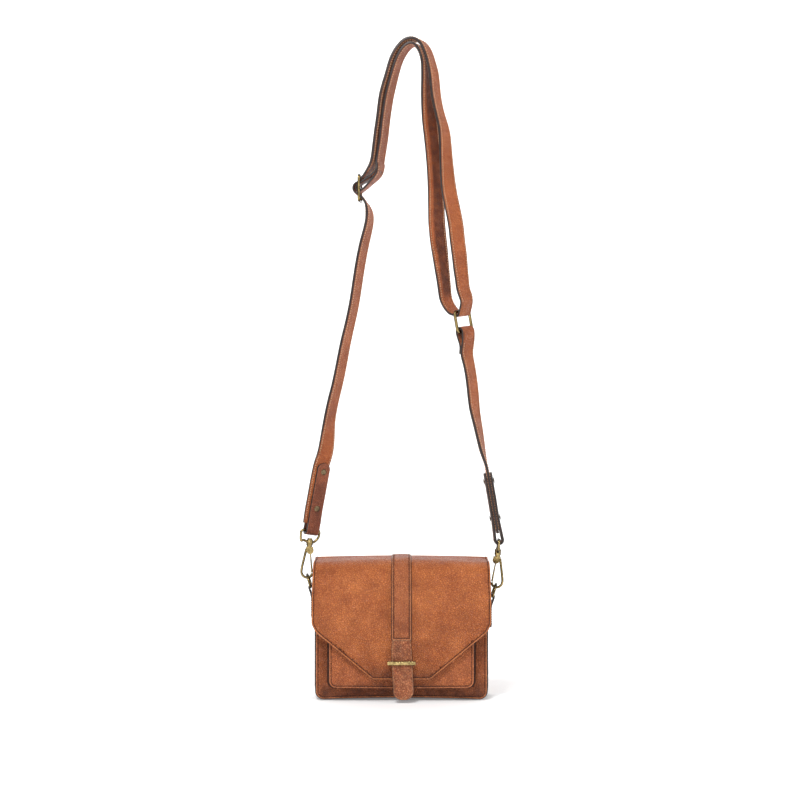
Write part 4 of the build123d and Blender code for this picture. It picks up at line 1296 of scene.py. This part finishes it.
def smooth_path(stations, step, rounds):
    """Hermite curve through the stations, then smoothed where they aren't held.
    Returns points, width directions, normals and thicknesses."""
    knots, sides, thicks, holds = (np.array(column, float) for column in zip(*stations))
    gaps = np.linalg.norm(np.diff(knots, axis=0), axis=1)
    slopes = np.zeros_like(knots)
    slopes[0] = (knots[1] - knots[0]) / gaps[0]
    slopes[-1] = (knots[-1] - knots[-2]) / gaps[-1]
    for i in range(1, len(knots) - 1):
        before = (knots[i] - knots[i - 1]) / gaps[i - 1]
        after = (knots[i + 1] - knots[i]) / gaps[i]
        slopes[i] = (before * gaps[i] + after * gaps[i - 1]) / (gaps[i] + gaps[i - 1])
    points, widths, thick, hold = [], [], [], []
    for i, gap in enumerate(gaps):
        count = max(1, int(math.ceil(gap / step)))
        for k in range(count):
            s = k / count
            points.append((2 * s**3 - 3 * s**2 + 1) * knots[i]
                          + (s**3 - 2 * s**2 + s) * gap * slopes[i]
                          + (-2 * s**3 + 3 * s**2) * knots[i + 1]
                          + (s**3 - s**2) * gap * slopes[i + 1])
            for values, knot_values in ((widths, sides), (thick, thicks), (hold, holds)):
                values.append(knot_values[i] * (1 - s) + knot_values[i + 1] * s)
    points, widths, thick, hold = (
        np.array(values + [last[-1]]) for values, last in
        ((points, knots), (widths, sides), (thick, thicks), (hold, holds)))
    free = (1 - np.clip(hold, 0, 1))[1:-1, None]
    for _ in range(rounds):
        for values in (points, widths):
            values[1:-1] += free * 0.5 * ((values[:-2] + values[2:]) / 2 - values[1:-1])
    tangents = np.gradient(points, axis=0)
    tangents /= np.linalg.norm(tangents, axis=1, keepdims=True)
    widths = widths - tangents * (widths * tangents).sum(1, keepdims=True)
    widths /= np.linalg.norm(widths, axis=1, keepdims=True)
    return points, widths, np.cross(widths, tangents), thick


# ============================================================ bands
SEW_INSET = 2.1
# Section of a sewing groove: distance outward from its middle, height
SEW_GROOVE = ((0.85, 0), (0.36, -0.22 * 0.75), (0.0, -0.22), (-0.36, -0.22 * 0.75), (-0.85, 0))


def band_section(half, thick, rounding, crown, sewn):
    """Closed section of a band as (x, y, is edge), from the middle of its top face round."""
    r = min(rounding, thick / 2 - 0.08)
    top = [(half - r - 0.75, 0)]
    if sewn:
        top += [(half - SEW_INSET + dx, dy) for dx, dy in SEW_GROOVE]
    top += [(half * share, 0) for share in (0.55, 0.28, 0.0)]
    quarter = [(x, thick / 2 + dy + crown * (1 - (x / half) ** 2), x > half - r - 0.8)
               for x, dy in reversed(top)]
    for k in range(5):
        a = math.pi / 2 * k / 4
        quarter.append((half - r + r * math.sin(a), thick / 2 - r + r * math.cos(a), k > 0))
    right = quarter + [(x, -y, edge) for x, y, edge in reversed(quarter)]
    return right + [(-x, y, edge) for x, y, edge in reversed(right[1:-1])]


def flatten_caps(piece):
    """Flat, triangulated ends with sharp rims."""
    bm = bmesh.new()
    bm.from_mesh(piece.data)
    caps = [f for f in bm.faces if len(f.verts) > 4]
    for cap in caps:
        cap.smooth = False
        for e in cap.edges:
            e.smooth = False
    bmesh.ops.recalc_face_normals(bm, faces=bm.faces)
    bmesh.ops.triangulate(bm, faces=caps)
    bm.to_mesh(piece.data)
    bm.free()


def band(name, stations, width, leather_mat, body, node, slot, rounding=0.9, crown=0.25,
         sewn=False, tip=0.0, shade=0.1, step=2.4, rounds=8, jitter=0.0, seed=0.0, marks=(),
         tone=None, no_sew=()):
    """A strap along its stations, with crowned faces and painted edges. Sewn ones have two
    grooves on each face. tip is the length over which the ends are rounded, jitter the
    unevenness of the faces, marks are creases drawn only as painted shade lines, and no_sew
    is (point, reach) without stitches."""
    points, widths, normals, thick = smooth_path(stations, step, rounds)
    run = np.concatenate([[0], np.cumsum(np.linalg.norm(np.diff(points, axis=0), axis=1))])
    total = run[-1]
    half = width / 2
    crease_shade_lines = []
    for x, z, *look, (first, last) in marks:
        nearest = min((np.hypot(p[0] - x, p[2] - z), i) for i, p in enumerate(points)
                      if first <= run[i] / total <= last)[1]
        crease_shade_lines.append((run[nearest], *look))
    verts, rest, shades, wear = [], [], [], []
    for i, point in enumerate(points):
        narrowing = 1.0
        from_end = min(run[i], total - run[i])
        if from_end < tip:
            narrowing = max(0.12, math.sqrt(max(0.0, 1 - (1 - from_end / tip) ** 2)))
        section = band_section(half, thick[i], rounding, crown, sewn)
        for x, y, _ in section:
            uneven = jitter * noise_at(run[i], x, seed, 9.0, seed) if abs(x) < half * 0.9 else 0
            verts.append(point + widths[i] * (x * narrowing) + normals[i] * (y + uneven))
            rest.append((x * narrowing + 300 * seed, run[i], y))
            dark = shade + 0.16 * ease(half * 0.72, half, abs(x))
            dark += 0.22 * noise_at(run[i], x, seed, 14, 3.0 + seed)
            # tone adds extra darkening; on the long strap it is painted shadow
            if tone:
                dark += tone(point, x, y, run[i] / total)
            # painted shade along each crease line
            for middle, slant, spread, strength in crease_shade_lines:
                dark += strength * bell(run[i], middle + slant * x, spread)
            shades.append(clamp(dark, 0, 0.97))
            wear.append(0.75 * max(0.0, 1 - abs(abs(x) - (half - rounding * 0.55)) / 0.8))
    # the last section decides which faces are painted as edges
    edges = [edge for _, _, edge in section]
    n = len(section)
    last = (len(points) - 1) * n
    faces, slots = [], []
    for start in range(0, last, n):
        for a in range(n):
            b = (a + 1) % n
            faces.append((start + a, start + b, start + n + b, start + n + a))
            slots.append(1 if edges[a] and edges[b] else 0)
    faces += [tuple(reversed(range(n))), tuple(range(last, last + n))]
    slots += [1, 1]
    # shade is stored before wear
    piece = make_object(name, verts, faces, [leather_mat, EDGE], slots,
                        {"shade": shades, "wear": wear}, rest)
    flatten_caps(piece)
    put(piece, body, node, slot)
    if not sewn:
        return

    parts = []
    for x in (half - SEW_INSET, SEW_INSET - half):
        for face in (1, -1):
            lines = [[]]
            for i, point in enumerate(points):
                if any(math.hypot(point[0] - c[0], point[2] - c[2]) < reach for c, reach in no_sew):
                    lines.append([])
                elif 2.5 <= run[i] <= total - 2.5:
                    y = face * (thick[i] / 2 + 0.10 + crown * (1 - (x / half) ** 2))
                    lines[-1].append((point + widths[i] * x + normals[i] * y, normals[i] * face))
            parts += [stitches(name + "_st", line, THREAD_TAN, pitch=3.0, length=2.0)
                      for line in lines if len(line) > 4]
    put(join(parts, name + "_stitching"), body)


# ============================================================ long and short straps
def long_strap_painted_shadow(point, x, y, share):
    """Extra darkening: painted shadow, strongest on one face of the inner run's right side and on
    the outer run's left side where the runs shade each other, weaker elsewhere. share is the part of the length behind
    the point."""
    if share > 0.55 and point[0] > 24 and y > 0:
        return 0.92 * ease(-6.0, -2.5, x) * ease(462, 480, point[2]) * fade(740, 768, point[2])
    if share < 0.5 and point[0] < 14 and point[2] > 600:
        return 0.8 * ease(610, 640, point[2])
    if share > 0.5 and point[0] < 14:
        return 0.30
    return 0.06


# Creases, drawn only as painted shade lines: x, z, slant across the width, width, strength, share of the length to
# look in
LONG_STRAP_CREASE_SHADE = (
    (38.5, 531.0, 0.55, 0.9, 0.8, (0.5, 1.0)), (39.4, 526.0, 0.55, 0.8, 0.55, (0.5, 1.0)),
    (-26.0, 616.0, 0.1, 0.8, 0.8, (0.93, 1.0)), (-34.0, 603.0, 0.1, 0.8, 0.6, (0.93, 1.0)))

# up the left leg from its end tab
long_stations = [(left_end.at(0, up, side), left_end.side, thick, 1) for up, side, thick in
                 ((8, -0.8, 2.6), (20, -1.4, 3.0), (40, -1.4, 3.0), (60, -1.4, 3.0),
                  (78, -0.8, 3.0))]
long_stations += hang(LEFT_LEG)
# round the slider
long_stations += beside(slider, ((7.4, -17.2), (3.6, -11.4)), thick=2.7, hold=0.7)
long_stations += wrap(slider, 6.9, -98, -250, 12, thick=2.5)
long_stations += beside(slider, ((4.0, 12.7, 84), (10.4, 20.7, 76)), thick=2.7, hold=0.7)
# over the top, round the ring and back
long_stations += hang(OUTER_RUN, toward=-1)
long_stations += beside(ring_top, ((11.2, 12.8),), thick=3.0, hold=0.6)
long_stations += wrap(ring_top, 4.9, -24, -122, 10, thick=2.9)
long_stations += beside(ring_top, ((-12.6, 0.6),), thick=3.0, hold=0.6)
long_stations += hang(((55.6, 461.0, 44), (52.3, 468.6, 44)), behind=11.2, thick=3.1, hold=0.4)
long_stations += hang(reversed(INNER_RUN), toward=1)
# down to the slider, round its middle and up to a thin end
long_stations += beside(slider, ((21.6, 20.8, 70), (16.4, 15.8, 76), (8.9, 10.6, 82)),
                        thick=2.7, hold=0.8)
long_stations += wrap(slider, 3.7, 132, 318, 14, thick=2.4)
long_stations += beside(slider, ((6.8, 0.6, 84), (12.4, 6.0, 80), (18.2, 11.8, 74),
                                 (22.6, 17.4, 70)), thick=2.5, hold=0.95)
long_stations += beside(slider, ((24.7, 24.2, 67),), thick=1.6, hold=0.95)
long_stations += beside(slider, ((25.4, 29.5, 66),), thick=1.0, hold=0.95)
band("long_strap_leather", long_stations, STRAP_W, STRAP, "strap", "long_strap",
     "strap_leather", sewn=True, shade=0.06, seed=0.3, tone=long_strap_painted_shadow,
     no_sew=((slider.origin, 20), (ring_top.origin, 12)), marks=LONG_STRAP_CREASE_SHADE)

# from the right end tab up to the ring and round its lower side
short_stations = beside(right_end, ((0, 8),), thick=2.6, hold=1)
short_stations += beside(right_end, [(0, up) for up in (20, 40, 60, 78, 86)], thick=3.0, hold=1)
short_stations += hang(reversed(SHORT_RUN))
short_stations += beside(ring_low, ((0.6, -16.0), (3.4, -8.0)), thick=3.0, hold=0.8)
short_stations += wrap(ring_low, 4.9, 0, 180, 14, thick=2.9)
short_stations += beside(ring_low, ((-3.9, -8.0), (-2.9, -16.0), (-5.4, -25.0)),
                         thick=2.8, hold=0.9)
band("short_strap_leather", short_stations, STRAP_W, STRAP, "strap", "short_strap",
     "strap_leather", sewn=True, shade=0.16, seed=1.7, no_sew=((ring_low.origin, 12),))

# ============================================================ end tabs and rivets
# side, frame, distance of each leg from the middle, thickness, bow of the legs near the
# eye, width, seed, height of the rivet caps' seats
END_TABS = (
    ("left", Frame(left_end.at(side=1.3), left_end.up, LEFT_EYE), 3.25, 3.0, 0.9, 16.4, 2.2, 4.87),
    ("right", right_end, 3.35, 3.3, 0.55, 17.6, 3.2, 5.62))
LEG_STATIONS = (80.0, 76, 60, 40, 22)    # up the frame, from the tip
RIVET_UPS = (26.0, 70.0)
# Rivet cap above its seat, after the shank: radius, height
RIVET_CAP = [(1.25, -0.05), (3.1, 0.0), (3.4, 0.06), (3.55, 0.22), (3.5, 0.42), (3.2, 0.66),
             (2.5, 0.88), (1.4, 1.0), (0.35, 1.04)]


def lathe(profile, centre, axis, segments=28):
    """Points and faces of a turned shape about a roughly level axis.
    profile is (radius, height along the axis)."""
    axis = unit(np.array(axis, float))
    a = unit(np.cross(axis, np.array([0, 0, 1.0])))
    b = np.cross(axis, a)
    verts, faces = [], []
    for radius, height in profile:
        for k in range(segments):
            t = 2 * math.pi * k / segments
            verts.append(np.array(centre) + axis * height
                         + a * (radius * math.cos(t)) + b * (radius * math.sin(t)))
    last = (len(profile) - 1) * segments
    for j in range(0, last, segments):
        for k in range(segments):
            m = (k + 1) % segments
            faces.append((j + k, j + m, j + segments + m, j + segments + k))
    faces.append(tuple(range(segments))[::-1])
    faces.append(tuple(last + k for k in range(segments)))
    return verts, faces


# one strip folded round each hook eye
for side, frame, leg, thick, bow, width, seed, _ in END_TABS:
    stations = beside(frame, [(leg, up) for up in LEG_STATIONS] + [(leg + bow, 11)], thick, 1)
    stations += wrap(frame, 4.5, 12, -192, 18, thick)
    stations += beside(frame, [(-leg - bow, 11)] + [(-leg, up) for up in LEG_STATIONS[::-1]],
                       thick, 1)
    band(f"end_tab_{side}_leather", stations, width, END_TAB, "strap", f"end_tab_{side}",
         "tab_leather", crown=0.15, tip=6.5, shade=0.25, step=1.2, rounds=0, jitter=0.12,
         seed=seed)

for side, frame, *_, seat in END_TABS:
    verts, faces = [], []
    for up in RIVET_UPS:
        for sign in (1, -1):
            profile = [(1.25, -seat + 0.02)] + RIVET_CAP
            turned, turned_faces = lathe(profile, frame.at(sign * seat, up), frame.out * sign)
            faces += [tuple(len(verts) + i for i in face) for face in turned_faces]
            verts += turned
    put(make_object(f"end_tab_rivets_{side}", verts, faces, [RIVET]), "strap",
        f"end_rivets_{side}", "brass")

# ============================================================ D-ring loops
LOOP_BEND, LOOP_PITCH = 2.35, 1.4        # bend radius round the bar, layer to layer
for side, sign in (("left", -1), ("right", 1)):
    low, high = mm_box(f"dring_{side}")
    bar_z = low[2] + 1.3
    bar_x = (-high[0] if sign < 0 else low[0]) + 1.3
    under = HALF_W + LOOP_PITCH / 2 + 0.05       # layer against the bag
    over = under + LOOP_PITCH + 0.15             # layer outside it
    # distance out from the bag's middle, and z
    path = [(under, bar_z - drop) for drop in (36, 24, 15, 11)]
    path += [(under + 0.14, bar_z - 7.5), (under + 0.36, bar_z - 4.5),
             (bar_x - LOOP_BEND, bar_z - 1.6), (bar_x - LOOP_BEND, bar_z)]
    for k in range(1, 10):
        t = math.pi - math.pi * k / 10
        path.append((bar_x + LOOP_BEND * math.cos(t), bar_z + LOOP_BEND * math.sin(t)))
    path += [(bar_x + LOOP_BEND, bar_z), (bar_x + LOOP_BEND - 0.9, bar_z - 3.6),
             (under + LOOP_PITCH + 1.5, bar_z - 8), (under + LOOP_PITCH + 0.3, bar_z - 14),
             (over, bar_z - 24), (over, bar_z - 36)]
    stations = [(np.array([sign * x, HANG_Y, z]), np.array([0.0, 1.0, 0.0]), 1.38, 0.9)
                for x, z in path]
    band(f"dring_loop_{side}_leather", stations, 16.8, END_TAB, "bag", f"dring_tab_{side}",
         "leather", rounding=0.55, crown=0.05, shade=0.2, step=1.3, rounds=0, seed=4.0 + sign)
    face_x = sign * (over + LOOP_PITCH / 2 - 0.05)
    square = outline(rect(-6.6, 6.6, bar_z - 34.0, bar_z - 15.5), [0.5] * 4, 0, 1.2)
    line = [(np.array([face_x, HANG_Y + y, z]), np.array([sign, 0.0, 0.0])) for y, z in square]
    put(stitches(f"dring_loop_{side}_stitching", line, THREAD_DARK, closed=True), "bag")

# ============================================================ hardware kept from the CAD
BRASS_NODES = (
    "hook_frame_left", "hook_frame_right", "gate_left", "gate_right", "hook_eye_left",
    "hook_eye_right", "dring_left", "dring_right", "strap_ring", "strap_slider", "keeper_bar",
    "gate_pin_left", "gate_pin_right")
STEEL_NODES = ("gate_spring_left", "gate_spring_right", "snap_socket", "snap_socket_washer",
               "snap_stud", "keeper_washers")
for nodes, mat in ((BRASS_NODES, BRASS), (STEEL_NODES, STEEL)):
    for node in nodes:
        mesh = cad["nodes"][node].data
        mesh.materials.clear()
        mesh.materials.append(mat)
        mesh.polygons.foreach_set("use_smooth", [True] * len(mesh.polygons))
        mesh.set_sharp_from_angle(angle=math.radians(40))
        mesh.update()


# ============================================================ stage, lights, camera (metres)
def floor_material():
    mat = Shader("studio_floor")
    mat.set("Base Color", (0.96, 0.96, 0.96, 1))
    mat.set("Emission Color", (1, 1, 1, 1))
    mat.set("Emission Strength", 0.16)
    mat.set("Roughness", 0.8)
    mat.set("Specular IOR Level", 0.2)
    return mat.material


def build_backdrop():
    """A floor that curves up into a wall behind the bag, just under z = 0."""
    half, near, wall, top, bend = 6.0, -4.0, 2.2, 5.0, 1.2
    profile = [(near, 0.0), (wall - bend, 0.0)]
    for a in map(math.radians, range(10, 91, 10)):
        profile.append((wall - bend + bend * math.sin(a), bend - bend * math.cos(a)))
    profile.append((wall, top))
    bm = bmesh.new()
    rows = [[bm.verts.new((x, y, z - 0.0002)) for x in (-half, half)] for y, z in profile]
    for a, b in zip(rows, rows[1:]):
        bm.faces.new((a[0], a[1], b[1], b[0]))
    mesh = bpy.data.meshes.new("backdrop")
    bm.to_mesh(mesh)
    bm.free()
    mesh.polygons.foreach_set("use_smooth", [True] * len(mesh.polygons))
    mesh.materials.append(floor_material())
    backdrop = bpy.data.objects.new("backdrop", mesh)
    scene.collection.objects.link(backdrop)
    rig.stage(backdrop)


build_backdrop()

world = bpy.data.worlds.new("studio")
scene.world = world
world.use_nodes = True
background = world.node_tree.nodes["Background"]
background.inputs[0].default_value = (1, 1, 1, 1)
background.inputs[1].default_value = 0.30

# name, place, target, width and height, watts
LIGHTS = (
    ("key", (-0.45, -1.35, 1.95), (0, 0, 0.15), (0.55, 0.45), 31),
    ("front", (-0.9, -2.6, 0.7), (0, 0, 0.3), (1.0, 1.4), 10),
    ("fill", (1.9, -1.0, 0.9), (0, 0, 0.3), (1.0, 1.6), 9),
    ("top", (0.1, -0.5, 2.3), (0, 0, 0.2), (1.0, 0.6), 4),
    ("back_wash_l", (-1.6, 0.9, 1.2), (-0.9, 2.2, 0.8), (1.2, 1.8), 30),
    ("back_wash_r", (1.6, 0.9, 1.2), (0.9, 2.2, 0.8), (1.2, 1.8), 30))
for name, place, target, size, power in LIGHTS:
    light = bpy.data.lights.new(name, "AREA")
    light.shape = "RECTANGLE"
    light.size, light.size_y = size
    light.energy = power
    lamp = bpy.data.objects.new(name, light)
    lamp.location = place
    lamp.rotation_euler = (Vector(target) - Vector(place)).to_track_quat("-Z", "Y").to_euler()
    scene.collection.objects.link(lamp)

CAMERA_DISTANCE = 2.020  # in front of the flap
VIEW_WIDTH = 0.920       # width seen at that distance
camera = bpy.data.cameras.new("camera")
camera.sensor_width = 36.0
camera.lens = 36.0 * CAMERA_DISTANCE / VIEW_WIDTH
camera_object = bpy.data.objects.new("camera", camera)
scene.collection.objects.link(camera_object)
camera_object.location = (-0.0017, flap_low[1] * MM - CAMERA_DISTANCE, 0.3482)
camera_object.rotation_euler = (math.radians(90), 0, 0)
scene.camera = camera_object
scene.view_settings.view_transform = "Standard"
scene.view_settings.look = "None"


def plain(box):
    return [[float(c) for c in corner] for corner in box]


try:
    json.dump({"cad": plain(CAD_BOX), "visual": plain(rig.bounds())}, open("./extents.json", "w"))
except OSError:
    pass
